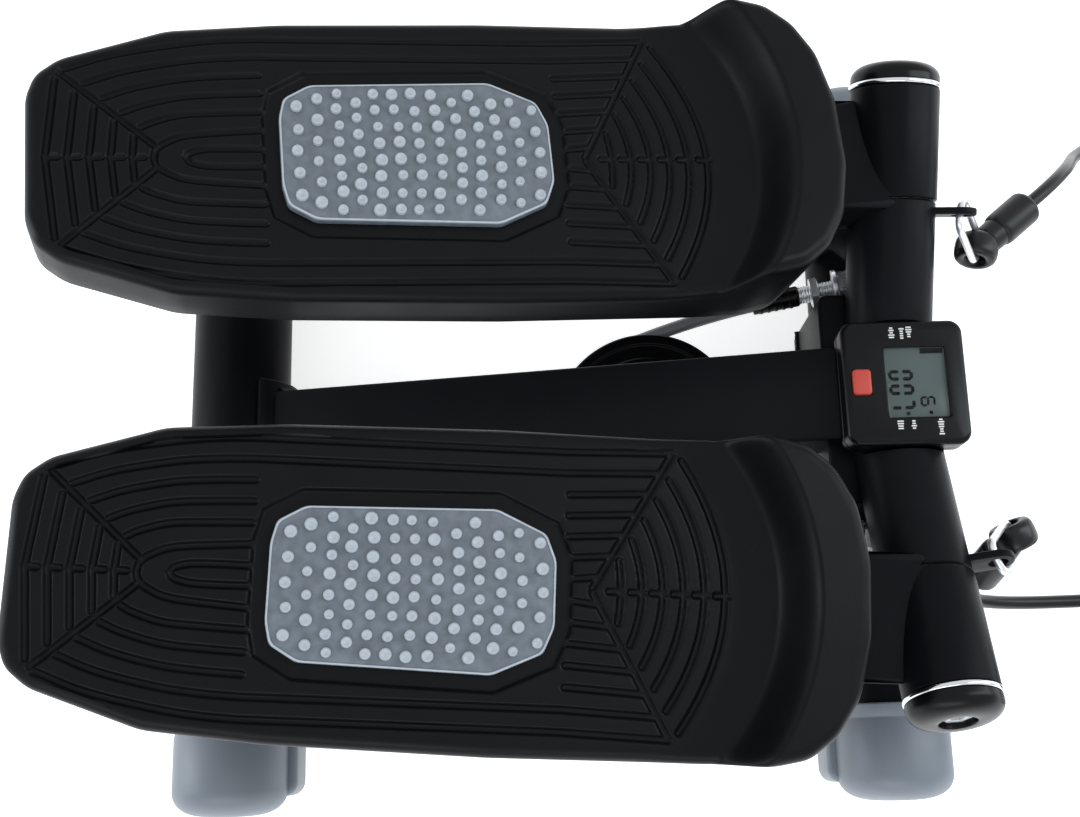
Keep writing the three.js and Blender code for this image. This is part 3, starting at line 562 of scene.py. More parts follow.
CORD_R = 3.0
CORD_ROUTES = {
    "left": [
        (214.5, 81.4, 78.6), (222.6, 88.1, 78), (230, 94.3, 76.3), (238, 101.6, 72), (246, 109.6, 64),
        (253, 117, 53), (260, 125, 39.5), (268, 133.5, 26), (278, 142, 14.5), (290, 149, 7.4),
        (304, 152.8, 4), (322, 153.8, 3.3), (336, 153.8, 3.3)],
    "right": [
        (192.5, -70.5, 64.6), (190, -75, 56), (188.6, -78.1, 47.5), (189.4, -79.8, 38), (194, -80.8, 29),
        (202, -81.2, 21.5), (211.5, -81.4, 15.6), (222.5, -81.3, 10.6), (235, -81, 6.9),
        (250, -80.6, 4.5), (268, -80.2, 3.5), (288, -80.2, 3.3), (302, -80.2, 3.3)],
}
COIL_AT = {"left": (338.0, 112.0), "right": (304.0, -122.0)}
COIL_TURNS = ((35.4, 3.3), (29.4, 3.3), (29.4, 9.3), (35.4, 9.3))
POINTS_PER_TURN = 28
BAND_EYE = {"left": Vector((196.5, 66.5, 80)), "right": Vector((198, -61, 83))}
BAND_TIP = {"left": Vector((222.5, 88, 78)), "right": Vector((190, -75, 56))}
TAB_HOLE = Vector((27.53, -7.38, -53))
HANDLE_X, HANDLE_Z = 56.0, 14.3
GRIP_LOW, GRIP_LENGTH, GRIP_BORE, GRIP_R = -51.0, 96.0, 9.6, 13.2
LINK_HALF, WIRE_R = 6.7, 1.6


def coil_points(cx, cy):
    """An outer and an inner turn on the floor, then the same pair lying on them."""
    out = []
    for k, (r, z) in enumerate(COIL_TURNS):
        next_r, next_z = COIL_TURNS[min(k + 1, len(COIL_TURNS) - 1)]
        for i in range(POINTS_PER_TURN):
            t = i / POINTS_PER_TURN
            change = ease((t - 0.8) / 0.2)
            a = RIGHT_ANGLE - 2 * math.pi * t
            radius = r + (next_r - r) * change
            out.append((cx + radius * math.cos(a), cy + radius * math.sin(a), z + (next_z - z) * change))
    return out


def tail_points(cx, cy):
    """From the top of the coil round into the end of the handle."""
    bend = 4.4 * CORD_R
    last_r, last_z = COIL_TURNS[-1]
    handle = cx + HANDLE_X
    flat = arc(handle - 3 * bend, cy + last_r + bend, bend, -90, 0, 6)
    flat += arc(handle - bend, cy + 60, bend, 180, 0, 12)
    flat.append((handle, cy + 50))
    return [(x, y, last_z + (HANDLE_Z - last_z) * min(1, i / 14)) for i, (x, y) in enumerate(flat)]


def cord_points(side):
    lead = [tuple(p) for p in smooth_path(CORD_ROUTES[side][:-1], 3)]
    return lead + coil_points(*COIL_AT[side])[1:] + tail_points(*COIL_AT[side])


def link_ends(side):
    """The hole in the tab, the middle of the moulded eye, and the directions along and across them."""
    a, b = on_side_of(side, PIVOT_FRAME @ TAB_HOLE), BAND_EYE[side]
    outward = on_side_of(side, AXIS)
    x = (b - a).normalized()
    return a, b, x, (outward - x * outward.dot(x)).normalized()


def band_link(side):
    """Closed wire link, its two ends through the tab and the moulded eye."""
    a, b, x, y = link_ends(side)
    outline = round_rect(-0.7, (b - a).length + 0.7, -LINK_HALF, LINK_HALF, 5.1, 10)
    wire = tube(at_height(outline, 0), WIRE_R, 16, closed=True)
    piece(f"{side}_band_link", wire, ROW @ frame_of(x, y, x.cross(y), a))


def band_eye(side):
    """Round knob with a hole for the link, and the neck and sleeve that hold the cord."""
    _, eye, _, across = link_ends(side)
    reach = BAND_TIP[side] - eye
    length = reach.length
    knob = moved(ring(3.4, 9.4, -5.6, 5.6, 4.4, 64), along(eye, across))
    neck = turned([(0, 6), (6.6, 6), (6.8, length - 16), (0, length - 16)], 1.2)
    sleeve = turned([
        (0, length - 21), (7.0, length - 21), (7.8, length - 19), (7.8, length - 2), (5.6, length),
        (3.7, length), (3.7, length - 9), (0, length - 9)], 1.4)
    return piece(f"{side}_band_eye", merged(knob, moved(merged(neck, sleeve), along(eye, reach))))


def band_handle(side):
    """Foam grip with a moulded collar at each end."""
    cx, cy = COIL_AT[side]
    place = (ROW @ Matrix.Translation((cx + HANDLE_X, cy, HANDLE_Z))
             @ Matrix.Rotation(RIGHT_ANGLE, 4, "X") @ Matrix.Diagonal((1, 1, -1, 1)))
    swell = [(GRIP_R + 0.8 * math.cos(2 * math.pi * t) ** 2, GRIP_LOW + GRIP_LENGTH * t)
             for t in [i / 24 for i in range(25)]]
    profile = [(GRIP_BORE, GRIP_LOW), *swell, (GRIP_BORE, GRIP_LOW + GRIP_LENGTH)]
    ends = merged(
        turned([(0, -62), (9, -62), (11, -60), (11, -53), (9.4, -51.5), (9.4, -40), (0, -40)], 0.8),
        turned([(0, 34), (9.4, 34), (9.4, 45.5), (11, 47), (11, 54), (7, 58), (3.6, 58), (3.4, 52),
                (0, 52)], 0.8))
    collars = trim(f"{side}_handle_collars", f"{side}_band_handle", ends, "band_rubber", place)
    return [piece(f"{side}_band_handle", turned(profile, 1.2, closed=True), place), collars]


def band_cord(side, points):
    """A curve of one open spline with a round section."""
    data = bpy.data.curves.new(f"{side}_band_cord_look", "CURVE")
    data.dimensions = "3D"
    data.bevel_depth = CORD_R * MM
    data.bevel_resolution = 5
    data.use_fill_caps = True
    spline = data.splines.new("POLY")
    spline.points.add(len(points) - 1)
    for target, p in zip(spline.points, points):
        target.co = (*row_point(p), 1)
    spline.use_smooth = True
    rope = bpy.data.objects.new(data.name, data)
    bpy.context.collection.objects.link(rope)
    data.materials.append(MATERIALS["band_rubber"])
    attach(rope, "base")
    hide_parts(f"{side}_band_cord", f"{side}_band_coil")
    return rope


def band(side):
    band_link(side)
    eye = band_eye(side)
    grip = band_handle(side)
    points = cord_points(side)
    band_cord(side, points)


# ---- Base ----

CENTRE_T = -PIVOT.y / AXIS.y


def bar_frame(x):
    return ROW @ Matrix.Translation((x, 0, BAR_Z)) @ Matrix.Rotation(-RIGHT_ANGLE, 4, "X")


def end_cap(name, x, side):
    """Domed cap on the end of a bar, its foot standing out towards the middle of the machine."""
    bead, rim_y = CAP_IN + 5, CAP_OUT - CAP_DOME
    profile = [(0, BAR_HALF + 1), (BAR_R + 0.3, BAR_HALF + 1), (BAR_R + 0.3, CAP_IN),
               (CAP_R - 0.6, CAP_IN), (CAP_R, CAP_IN + 0.6), (CAP_R, bead), (CAP_R - 0.4, bead + 0.6),
               (CAP_R - 0.4, bead + 1.4), (CAP_R, bead + 2)]
    profile += dome(0, CAP_R, rim_y, CAP_DOME, 0.55, 18)
    shell = moved(lathe(profile, FINE), Matrix.Rotation(-RIGHT_ANGLE, 4, "X"))
    inward = 1 if x < 0 else -1
    edges = sorted((-FOOT_OUTER * inward, FOOT_INNER * inward))
    foot = soft_prism(round_rect(*edges, CAP_IN + 3, rim_y + 3, 6), -BAR_Z, FOOT_H - BAR_Z, 2.5)
    flip = STILL if side == "left" else MIRROR
    piece(name, moved(merged(shell, foot), flip), ROW @ Matrix.Translation((x, 0, BAR_Z)))


def centre_beam():
    """Sloping box beam, cut to the rear bar's curve, with a saddle plate and two welds there."""
    half = BEAM_W / 2
    bar_x, _, bar_z = BEAM_FRAME.inverted() @ Vector((REAR_X, 0, BAR_Z))
    depths = [-BEAM_H * i / 16 for i in range(17)]
    rear = [(bar_x + math.sqrt((BAR_R + 2) ** 2 - (w - bar_z) ** 2), w) for w in depths]
    outline = rear + [(BEAM_LENGTH, -BEAM_H), (BEAM_LENGTH, 0)]
    beam = moved(on_edge(soft_prism(outline, -half, half, 1.8)), BEAM_FRAME)
    inner, outer = [arc(REAR_X, BAR_Z, BAR_R + gap, -55, 60, 24) for gap in (0.4, 3.8)]
    saddle = on_edge(soft_prism(outer + inner[::-1], -25, 25, 0.7))
    beads = [weld([BEAM_FRAME @ Vector((u + 2.2, y, w)) for u, w in rear[1:-1]]) for y in (-half, half)]
    piece("centre_beam", merged(beam, saddle, *beads))


def front_upright():
    shell = soft_prism(round_rect(124, 172, -46, 46, 4), 26, 84, 1.4)
    beads = [weld([(x, -44, z), (x, 44, z)], 1.5) for x, z in ((124.2, 36), (171.8, 38))]
    piece("front_upright", merged(shell, *beads))


def band_tab():
    plate = soft_prism(round_rect(12, 35, -7, 7, 6.5), -54.5, -51.5, 0.6)
    hole = moved(rod(4, -60, -45, COARSE), Matrix.Translation((28.5, 0, 0)))
    turn = PIVOT_FRAME @ Matrix.Rotation(math.radians(-15), 4, "Z")
    return moved(boolean(plate, [hole]), turn)


def hub_tube():
    """Two tubes that meet in a V over the upright, notched for the counter, with a tab on each."""
    left = moved(lathe([(0, CENTRE_T - 4), (HUB_R, CENTRE_T - 4), (HUB_R, HUB_END - 0.7),
                        (HUB_R - 0.7, HUB_END), (0, HUB_END)], FINE), PIVOT_FRAME)
    joined = boolean(left, [moved(left, MIRROR)], "UNION")
    notch = prism([(110, -27.4), (190, -27.4), (190, 27.4), (110, 27.4)], 92.6, 140)
    tab = band_tab()
    piece("hub_tube", merged(boolean(joined, [notch]), tab, moved(tab, MIRROR)))


def damper_anchor():
    outline = rounded([(-7, 5), (-7, -4), (-3, -7.5), (4, -8.5), (18, -5), (20, 14), (4, 9), (-3, 8.5)],
                      2.4, closed=True)
    ears = [soft_prism(outline, z, z + 4, 0.5) for z in (-14, 10)]
    web = soft_prism(round_rect(11.6, 18, -4, 12, 1.2), -14, 14, 0.5)
    return moved(merged(*ears, web), along(DAMPER_B, AXIS))


def stabilizers():
    bar = ring(BAR_R - 2, BAR_R, -BAR_HALF, BAR_HALF, 0.4, FINE)
    anchor = damper_anchor()
    piece("rear_stabilizer", bar, bar_frame(REAR_X))
    front = moved(bar, ROW.inverted() @ bar_frame(FRONT_X))
    piece("front_stabilizer", merged(front, anchor, moved(anchor, MIRROR)))
    for name, x in (("rear", REAR_X), ("front", FRONT_X)):
        for side in SIDES:
            end_cap(f"{name}_{side}_end_cap", x, side)


def pin(half):
    """Clevis pin: domed head, plain shank and a hexagon nut."""
    head = turned([(0, half), (6.2, half), (6.2, half + 2.4), (3.5, half + 4), (0, half + 4)], 0.7, MEDIUM)
    return merged(head, rod(4, -half, half + 0.5, COARSE), hexagon(6, -half - 3, -half))


def shafts(side):
    place = to_row(side, PIVOT_FRAME)
    low = HUB_END - 13
    shaft = turned([(0, low), (SHAFT_R, low), (SHAFT_R, SLEEVE_OUT), (0, SLEEVE_OUT)], 0.8, MEDIUM)
    piece(f"{side}_pivot_shaft", shaft, place)
    washer = ring(3.8, 10.2, -1.2, 0.9, 0.4)
    head = boolean(hexagon(6.6, 0.9, 7.4, 0.8), [hexagon(3.0, 4.4, 9, 0.0)])
    piece(f"{side}_shaft_end_bolt", merged(washer, head, rod(3.8, -14, 1.2, COARSE)), place)
    piece(f"{side}_damper_lower_pin", pin(14.5), to_row(side, along(DAMPER_B, AXIS)))


# ---- Counter ----

MON_X0, MON_X1, MON_Y, MON_TOP, MON_SPLIT, MON_LOW = 127.4, 178.0, 26.3, 107.0, 98.2, 84.0
WINDOW = (144.8, 169.9, -14.8, 15.0)
BUTTON = (130.8, 138.4, -5.4, 5.4)
LCD_TOP = 104.7
SEGMENTS = {"0": "abcdef", "6": "acdefg", "7": "abc"}


def rim(gap):
    """Outline of the counter's case, or that much inside it."""
    return round_rect(MON_X0 + gap, MON_X1 - gap, -MON_Y + gap, MON_Y - gap, max(1.0, 5.5 - gap))


def grown(box, gap, r):
    """Rounded rectangle that much outside a box."""
    x0, x1, y0, y1 = box
    return round_rect(x0 - gap, x1 + gap, y0 - gap, y1 + gap, r)


def monitor_front():
    levels = [(MON_SPLIT + 0.15, 0.4), (MON_SPLIT + 0.5, 0), (104.9, 0), (105.7, 0.15), (106.3, 0.55),
              (106.75, 1.2), (MON_TOP, 2.2)]
    body = loft([at_height(rim(gap), z) for z, gap in levels])
    cutters = [
        prism(rim(2.2), 90, 105.3),
        prism(grown(WINDOW, 0, 0.8), 100, 110),
        loft([at_height(grown(WINDOW, -0.1, 0.9), 106.2), at_height(grown(WINDOW, 0.9, 1.7), 107.2)]),
        prism(grown(BUTTON, 0.4, 1.8), 100, 110),
    ]
    piece("monitor_front_shell", boolean(body, cutters))


def monitor_back():
    low = round_rect(MON_X0 + 6, MON_X1 - 6, -MON_Y + 3.5, MON_Y - 3.5, 4)
    levels = [(MON_SPLIT - 4.6, 0.8), (MON_SPLIT - 4, 0), (MON_SPLIT - 0.6, 0), (MON_SPLIT - 0.15, 0.4)]
    body = loft([at_height(low, MON_LOW)] + [at_height(rim(gap), z) for z, gap in levels])
    piece("monitor_back_shell", boolean(body, [prism(rim(2.2), 95.3, 100)]))


def ink(x0, x1, y0, y1, r=0.3):
    return prism(round_rect(x0, x1, y0, y1, r, 3), LCD_TOP, LCD_TOP + 0.12)


def digit(symbol, x, y, height, width, thick):
    """Seven-segment digit whose top points along +X and which reads along -Y."""
    t, gap = thick / 2, thick * 0.12
    middle = x + height / 2
    lower, upper = (x + t, middle - t * 0.6), (middle + t * 0.6, x + height - t)
    first, last, across = (y - thick, y), (y - width, y - width + thick), (y - width + t, y - t)
    spots = {
        "a": (x + height - thick, x + height, *across),
        "d": (x, x + thick, *across),
        "g": (middle - t, middle + t, *across),
        "f": (*upper, *first), "b": (*upper, *last), "e": (*lower, *first), "c": (*lower, *last),
    }
    bars = [spots[key] for key in SEGMENTS[symbol]]
    return merged(*[ink(x0 + gap, x1 - gap, y0 + gap, y1 - gap, thick * 0.3) for x0, x1, y0, y1 in bars])


def display():
    marks = [digit(symbol, 145.9, y, 10.8, 5.0, 1.9) for symbol, y in (("0", 5.8), ("0", -0.3), ("7", -6.4))]
    marks.append(digit("6", 158.4, -5.6, 6.4, 4.6, 1.2))
    marks += [ink(x - 0.8, x + 0.8, y - 0.7, y + 0.7) for x, y in ((153.1, -12.9), (162.5, -12.6))]
    marks.append(ink(160, 169.4, 12.4, 14.7))
    trim("lcd_marks", "lcd_panel", merged(*marks), "black_plastic", look="lcd_ink")


def printed_marks():
    """Rows of small plain strokes where the face is printed beside the window."""
    rng = random.Random(4)
    strokes = []
    for x, y0, y1 in ((148.4, 23.0, 17.6), (152.6, 22.6, 17.6), (155.6, 23.2, 17.9), (149, -16.6, -20.6),
                      (154.4, -16.6, -20.8), (165.4, -16.2, -23.4)):
        for i in range(round(abs(y1 - y0))):
            y = y0 - i
            reach = rng.choice((0.7, 1.1, 1.3))
            outline = round_rect(x - reach, x + reach, y - 0.3, y + 0.3, 0.15, 2)
            strokes.append(prism(outline, MON_TOP - 0.05, MON_TOP + 0.06))
    trim("monitor_marks", "monitor_front_shell", merged(*strokes), "black_plastic", look="print_white")


def monitor():
    monitor_front()
    monitor_back()
    piece("monitor_window", soft_prism(grown(WINDOW, -0.3, 0.8), 105.3, 106.5, 0.25))
    piece("lcd_panel", soft_prism(round_rect(142, 173, -17.5, 17.5, 0.6), 103, LCD_TOP, 0.2))
    piece("circuit_board", soft_prism(round_rect(130, 174.5, -21, 21, 1), 100.6, 102.1, 0.15))
    cell = turned([(0, 95.6), (5, 95.6), (5.8, 96.2), (5.8, 100.2), (0, 100.2)], 0.4)
    piece("battery_cell", moved(cell, Matrix.Translation((140, -14, 0))))
    x0, x1, y0, y1 = BUTTON
    cap = soft_prism(grown(BUTTON, 0, 1.6), 104.2, 108.8, 1.0)
    flange = soft_prism(round_rect(x0 - 1, x1 + 1, y0 - 1.2, y1 + 1.2, 1), 103.1, 104.3, 0.2)
    piece("mode_button", merged(cap, flange))
    display()
    printed_marks()


# ---- Pulley, cable and dampers ----

CABLE_START = (WRAP_R * math.cos(TANGENT), WRAP_R * math.sin(TANGENT))
CABLE_STUD = (61, 54)
CABLE_ROUTE = [CABLE_START, (8, 42.9), (27, 47.8), (44, 51.3), CABLE_STUD]
CABLE_END = in_pulley_plane(*CABLE_E)
WHEEL_HALF = [(8.3, 4.5), (30, 4.5), (31, 3.9), (36.5, 3.9), (37.5, 4.5), (41.2, 4.5), (42, 3.8), (42, 3.6),
              (35.2, 3.2)]


def pulley():
    """Wheel with its groove, the cable that lies in it, and its bolt and bush."""
    profile = [(r, -z) for r, z in WHEEL_HALF] + WHEEL_HALF[::-1]
    piece("pulley_wheel", turned(profile, 0.4, FINEST, closed=True), ROW @ PULLEY_FRAME)
    first = math.degrees(TANGENT) + 0.8
    turn = math.degrees(-CABLE_RATE * REST / WRAP_R)
    path = [in_pulley_plane(u, v) for u, v in arc(0, 0, WRAP_R, first + turn, 360 - first + turn, 48)]
    piece("cable_wrap", tube(path, CABLE_R, 20))
    bolt = merged(rod(4.9, -9, 10, COARSE), hexagon(8, -13, -8.2), hexagon(8, 9.5, 14))
    piece("pulley_bolt", bolt, ROW @ PULLEY_FRAME)
    piece("pulley_bush", ring(5.2, 8, -7.9, 5.6, 0.4), ROW @ PULLEY_FRAME)


def cable_end(side, place):
    """Ferrule, threaded stud with nuts and washer, and the eye on the arm's lug."""
    start = in_pulley_plane(*CABLE_STUD)
    reach = CABLE_END - start
    on_stud = along(start, reach)
    ferrule = turned([(2.6, -9), (4.7, -9), (4.7, 12), (2.6, 13)], 0.8, MEDIUM, closed=True)
    ridges = [ring(4.5, 5.0, z, z + 1.4, 0.3) for z in (-6, -2.6, 0.8, 4.2, 7.6)]
    trim(f"{side}_cable_ferrule", f"{side}_cable", moved(merged(ferrule, *ridges), on_stud),
         "black_plastic", place)
    stud = merged(thread(4, 11, reach.length - 8), ring(3.7, 8.6, 28.2, 30.1, 0.3), hexagon(7.6, 30.2, 36.6),
                  hexagon(7.2, 17.5, 21.5))
    eye = ring(5.2, 9.5, -2.7, 2.7, 0.9)
    fittings = merged(moved(stud, on_stud), moved(eye, along(CABLE_END, AXIS)))
    trim(f"{side}_cable_fittings", f"{side}_cable", fittings, "zinc", place)


def cable(side):
    slide = (CABLE_END - in_pulley_plane(*CABLE_START)).normalized() * CABLE_RATE * rest_angle(side)
    place = to_row(side, Matrix.Translation(slide))
    run = smooth_path([in_pulley_plane(u, v) for u, v in CABLE_ROUTE], 12)
    piece(f"{side}_cable", tube(run, CABLE_R, 20), place)
    cable_end(side, place)


def damper(side):
    """Barrel with its lower eye, and rod with its piston, lock nut and upper eye."""
    place = to_row(side)
    eye_at = swung(side) @ DAMPER_P
    length = (eye_at - DAMPER_B).length
    on_line = along(DAMPER_B, eye_at - DAMPER_B)
    barrel = turned([
        (0, 9.6), (9, 9.6), (14, 13.5), (14, 28), (13.3, 29), (13.3, 31), (14, 32), (14, 112), (13.2, 113),
        (13.2, 115), (13.8, 116), (12.4, 119.5), (5, 119.5), (5, 112), (12, 112), (12, 20), (0, 20)], 0.6)
    lower_eye = moved(ring(4.6, 10, -9, 9, 1.0), along(DAMPER_B, AXIS))
    piece(f"{side}_damper_barrel", merged(moved(barrel, on_line), lower_eye), place)
    stem = turned([(0, 72), (11.6, 72), (11.6, 82), (4.6, 82), (4.6, length - 13), (0, length - 13)], 0.6)
    collar = hexagon(7.4, length - 15, length - 8)
    upper_eye = moved(ring(6.8, 10, -8, 8, 0.9), along(eye_at, AXIS))
    piece(f"{side}_damper_rod", merged(moved(merged(stem, collar), on_line), upper_eye), place)


# ---- Arms ----


def arm_shape():
    """Welded arm: beam under the tread, sleeve on the pivot, lug for the cable, ears for the damper."""
    outline = rounded([(-72, -31), (186, -31), (203, -24), (203, -0.6), (166, -6.6), (-72, -6.6)], 3,
                      closed=True)
    beam = moved(on_edge(soft_prism(outline, -22, 28, 2.6)), PEDAL_FRAME)
    clear = [moved(rod(16.4, SLEEVE_IN - 0.3, 6), PIVOT_FRAME),
             moved(rod(HUB_R + 1.1, SLEEVE_IN - 40, SLEEVE_IN - 0.1), PIVOT_FRAME)]
    sleeve = moved(ring(SLEEVE_BORE, SLEEVE_R, SLEEVE_IN, SLEEVE_OUT, 0.7, FINE), PIVOT_FRAME)
    lug = rounded([(108, 100), (114, 88), (134, 78), (149, 54.5), (170, 54.5), (172, 60), (168, 76),
                   (156, 82), (134, 104)], 3, closed=True)
    ear = rounded([(-9, -7), (9, -7), (13, 22), (-13, 22)], 5, closed=True)
    up = (Vector((0, 0, 1)) - AXIS * AXIS.z).normalized()
    on_pin = frame_of(up.cross(AXIS), up, AXIS, DAMPER_P)
    ears = [moved(soft_prism(ear, z, z + 4, 0.6), on_pin) for z in (-13.4, 9.4)]
    return merged(boolean(beam, clear), sleeve, on_edge(soft_prism(lug, 68.3, 73.5, 0.7)), *ears)


def arm(side):
    piece(f"{side}_pedal_arm", arm_shape(), to_row(side, moving=True))
    on_pivot = to_row(side, PIVOT_FRAME, moving=True)
    bush = ring(SHAFT_R + 0.3, SLEEVE_BORE - 0.3, SLEEVE_IN + 0.4, SLEEVE_OUT - 0.3, 0.4, 64)
    piece(f"{side}_sleeve_bushing", bush, on_pivot)
    piece(f"{side}_sleeve_ring", ring(11, 19.3, -1.3, 0.8, 0.9, FINEST), on_pivot)
    cap = [(7.4, 1.1), (18.7, 1.1), *dome(8.2, 10.5, 3, 6.4, 0.75, 14), (7.6, 9.3), (7.4, 8.9)]
    piece(f"{side}_sleeve_cap", lathe(cap, FINEST, closed=True), on_pivot)
    head = turned([(0, 17.4), (6.4, 17.4), (6.4, 19.6), (3.6, 21.4), (0, 21.4)], 0.6, MEDIUM)
    cable_pin = merged(head, rod(3.4, -8, 18, COARSE), hexagon(6.5, -10.6, -7.4))
    piece(f"{side}_cable_pin", cable_pin, to_row(side, along(CABLE_END, AXIS), moving=True))
    piece(f"{side}_damper_pin", pin(13.8), to_row(side, along(DAMPER_P, AXIS), moving=True))


# ---- Treads ----

OUTLINE = [(-143.2, 25), (-140, 34), (-131.5, 40.8), (-92, 54), (-50, 57.8), (30, 60.3), (108, 60.4),
           (130, 59.8), (143, 57), (153.5, 49), (162, 35.5), (167, 14)]
INSERT_HALF = [(-51.4, 14), (-49.5, 22), (-39.6, 27.8), (30, 30), (48.6, 21.7), (52.6, 12)]
INSERT = [(u, -v) for u, v in INSERT_HALF] + INSERT_HALF[::-1]
INSERT_TOP = 1.3
SPINE_HEEL, SPINE_TOE = -92.0, 112.0
HALF_STATIONS, TOP_ROWS = 640, 150
EDGE_R, WALL = 5.0, 4.6
PATTERN_LINE = WIDTH_SHIFT - 1.1
GROOVE_HALF, GROOVE_WALL, GROOVE_DEPTH = 1.2, 0.9, 1.6
FRAME_OUT, FRAME_DROP = 6.8, 1.9
UNDER_INSETS = (1e3, 48, 42, 37, 33, 29, 26, 23, 20, 17, 14, 11, 8, 5.8)
STUD_COUNTS = (5, 6, 8, 7, 8, 8, 8, 8, 7, 8, 7, 6, 5)
STUD_PITCH = {5: 9.2, 6: 8.7, 7: 6.9, 8: 6.95}
STUD_COLUMN = 7.75
SCREWS = ((-34, -9), (-34, 15), (36, -9), (36, 15))


def tread_ring():
    """Points round the tread: close together at heel and toe, wider apart along the sides."""
    half = rounded([(OUTLINE[0][0], 0.0)] + OUTLINE + [(OUTLINE[-1][0], 0.0)], 3.5, 8)
    u, v = np.array(half).T
    middle = (u[1:] + u[:-1]) / 2
    weight = np.where((middle > -52) & (middle < 56), 0.4, 1.0)
    run = np.concatenate([[0], np.cumsum(np.hypot(np.diff(u), np.diff(v)) * weight)])
    at = np.linspace(0, run[-1], HALF_STATIONS)
    u, v = np.interp(at, run, u), np.interp(at, run, v)
    return np.concatenate([u, u[-2:0:-1]]), np.concatenate([v, -v[-2:0:-1]])


def tread_height(u, v):
    """Flat, then a scoop that climbs to the toe guard."""
    r = np.hypot(u - 60, 0.92 * (v - WIDTH_SHIFT))
    rise = 5 * ease((r - 60) / 22) + 19.5 * ease((r - 76) / 12)
    return np.where(u < 70, 0, rise)


def on_toe_spoke(j):
    return (96.6 - 4.5 * j, 53.3 - 8.03 * j)


def long_groove(j):
    """Groove number j from the outside, from the heel fan to the insert, or on to the toe."""
    if j < 5:
        line = [(-129.2 + 6.8 * j, 36.1 - 5.95 * j), (-111 + 3.4 * j, 42.6 - 7.0 * j), (-87, 47.6 - 7.5 * j),
                (-72, 49.6 - 7.75 * j)]
    elif j == 5:
        line = [(-97.6, 0), (-96.6, 3.4), (-92.5, 6.4), (-83.8, 9.3)]
    else:
        line = [(-86, 0), (-84.5, 2.0), (-79, 3.4), (-70, 3.7)]
    line.append((-58.5, 50.4 - 7.8 * j))
    line = [(p.x, p.y) for p in smooth_path(at_height(line, 0), 6)]
    if j < 2:
        line += [(56, 51.6 - 8.0 * j), on_toe_spoke(j)]
    return line


def toe_arc(k):
    """Arc number k from the inside, from the middle line of the toe fan to its spoke."""
    middle, end, reach = 77.7 + 8 * k, 76.8 + 4.7 * k, 11.6 + 7.8 * k
    return [(middle - (middle - end) * t * t, reach * t) for t in [i / 8 for i in range(9)]]


def groove_lines():
    """Grooves of one half, as lines of (u, distance from the groove pattern's middle line)."""
    lines = [long_groove(j) for j in range(7)]
    for i in range(5):
        lines.append([(-135.7 + 7.62 * i, 0), (-132.4 + 6.95 * i, 31.8 - 5.68 * i)])
        lines.append([(-135.8 + 7.6 * i, 0), (-131.6 + 7.6 * i, 0)])
    lines.append([(-130.5, 34.5), (-97.5, 5)])
    lines.append([on_toe_spoke(0), (67, 1)])
    for j in range(2, 7):
        lines.append([(57.5, 51.3 - 7.9 * j), on_toe_spoke(j)])
    for k in range(6):
        lines.append(toe_arc(k))
        lines.append([(73.3 + 8.15 * k, 0), (78 + 8.15 * k, 0)])
    return lines


def distance_to_lines(u, s, lines):
    best = np.full(u.shape, 1e9)
    for line in lines:
        for (ax, ay), (bx, by) in zip(line, line[1:]):
            dx, dy = bx - ax, by - ay
            t = np.clip(((u - ax) * dx + (s - ay) * dy) / max(dx * dx + dy * dy, 1e-9), 0, 1)
            best = np.minimum(best, (u - ax - t * dx) ** 2 + (s - ay - t * dy) ** 2)
    return np.sqrt(best)


def outside_convex(u, v, outline):
    """Signed distance to a convex outline, negative inside."""
    out = np.full(u.shape, -1e9)
    for (ax, ay), (bx, by) in zip(outline, outline[1:] + outline[:1]):
        across = (u - ax) * (by - ay) - (v - ay) * (bx - ax)
        out = np.maximum(out, across / math.hypot(bx - ax, by - ay))
    return out


def tread_surface(u, v):
    """The top with its grooves, and the shallow frame round the insert."""
    near = distance_to_lines(u, np.abs(v - PATTERN_LINE), groove_lines()) - GROOVE_HALF + GROOVE_WALL
    cut = 1 - ease(near / (2 * GROOVE_WALL))
    dish = 1 - ease((outside_convex(u, v, INSERT) - FRAME_OUT + 1.4) / 2.2)
    return tread_height(u, v) - GROOVE_DEPTH * cut * (1 - dish) - FRAME_DROP * dish


def tread_shell():
    """Closed shell of the tread: underside, lip, outer wall, rounded edge and grooved top."""
    pu, pv = tread_ring()
    cu = np.clip(pu, SPINE_HEEL, SPINE_TOE)
    reach = np.hypot(pu - cu, pv)
    rows = []

    def row(gap, height):
        gap = np.minimum(gap, reach)
        u = pu + (cu - pu) * gap / reach
        v = pv * (1 - gap / reach) + WIDTH_SHIFT
        rows.append(np.stack([u, v, height(u, v)], 1).tolist())

    def below(drop):
        return lambda u, v: tread_height(u, v) - drop

    def level(w):
        return lambda u, v: np.full(u.shape, w)

    for gap in UNDER_INSETS:
        row(gap, below(6.2))
    row(WALL + 0.4, below(9))
    for gap, w in ((WALL, -22.0), (WALL - 0.3, -23.4), (WALL - 1.2, SKIRT_Z), (1.2, SKIRT_Z), (0.3, -23.6),
                   (0, -22.6), (0, -15.0)):
        row(gap, level(w))
    for i in range(9):
        a = RIGHT_ANGLE * i / 9
        row(EDGE_R * (1 - math.cos(a)), below(EDGE_R * (1 - math.sin(a))))
    for i in range(TOP_ROWS + 1):
        row(EDGE_R + (reach - EDGE_R) * (i / TOP_ROWS), tread_surface)
    return loft(rows, ends=False)


def grown_insert(grow, corner=2.2):
    return rounded([(u * (1 + grow / 52), v * (1 + grow / 30)) for u, v in INSERT], corner, closed=True)


def tray_shape():
    """The tread's shell, whole: no pocket is cut for the insert, and no notch for the arm."""
    mesh = new_mesh("tread", tread_shell())
    shell = shape_of(mesh)
    bpy.data.meshes.remove(mesh)
    return shell


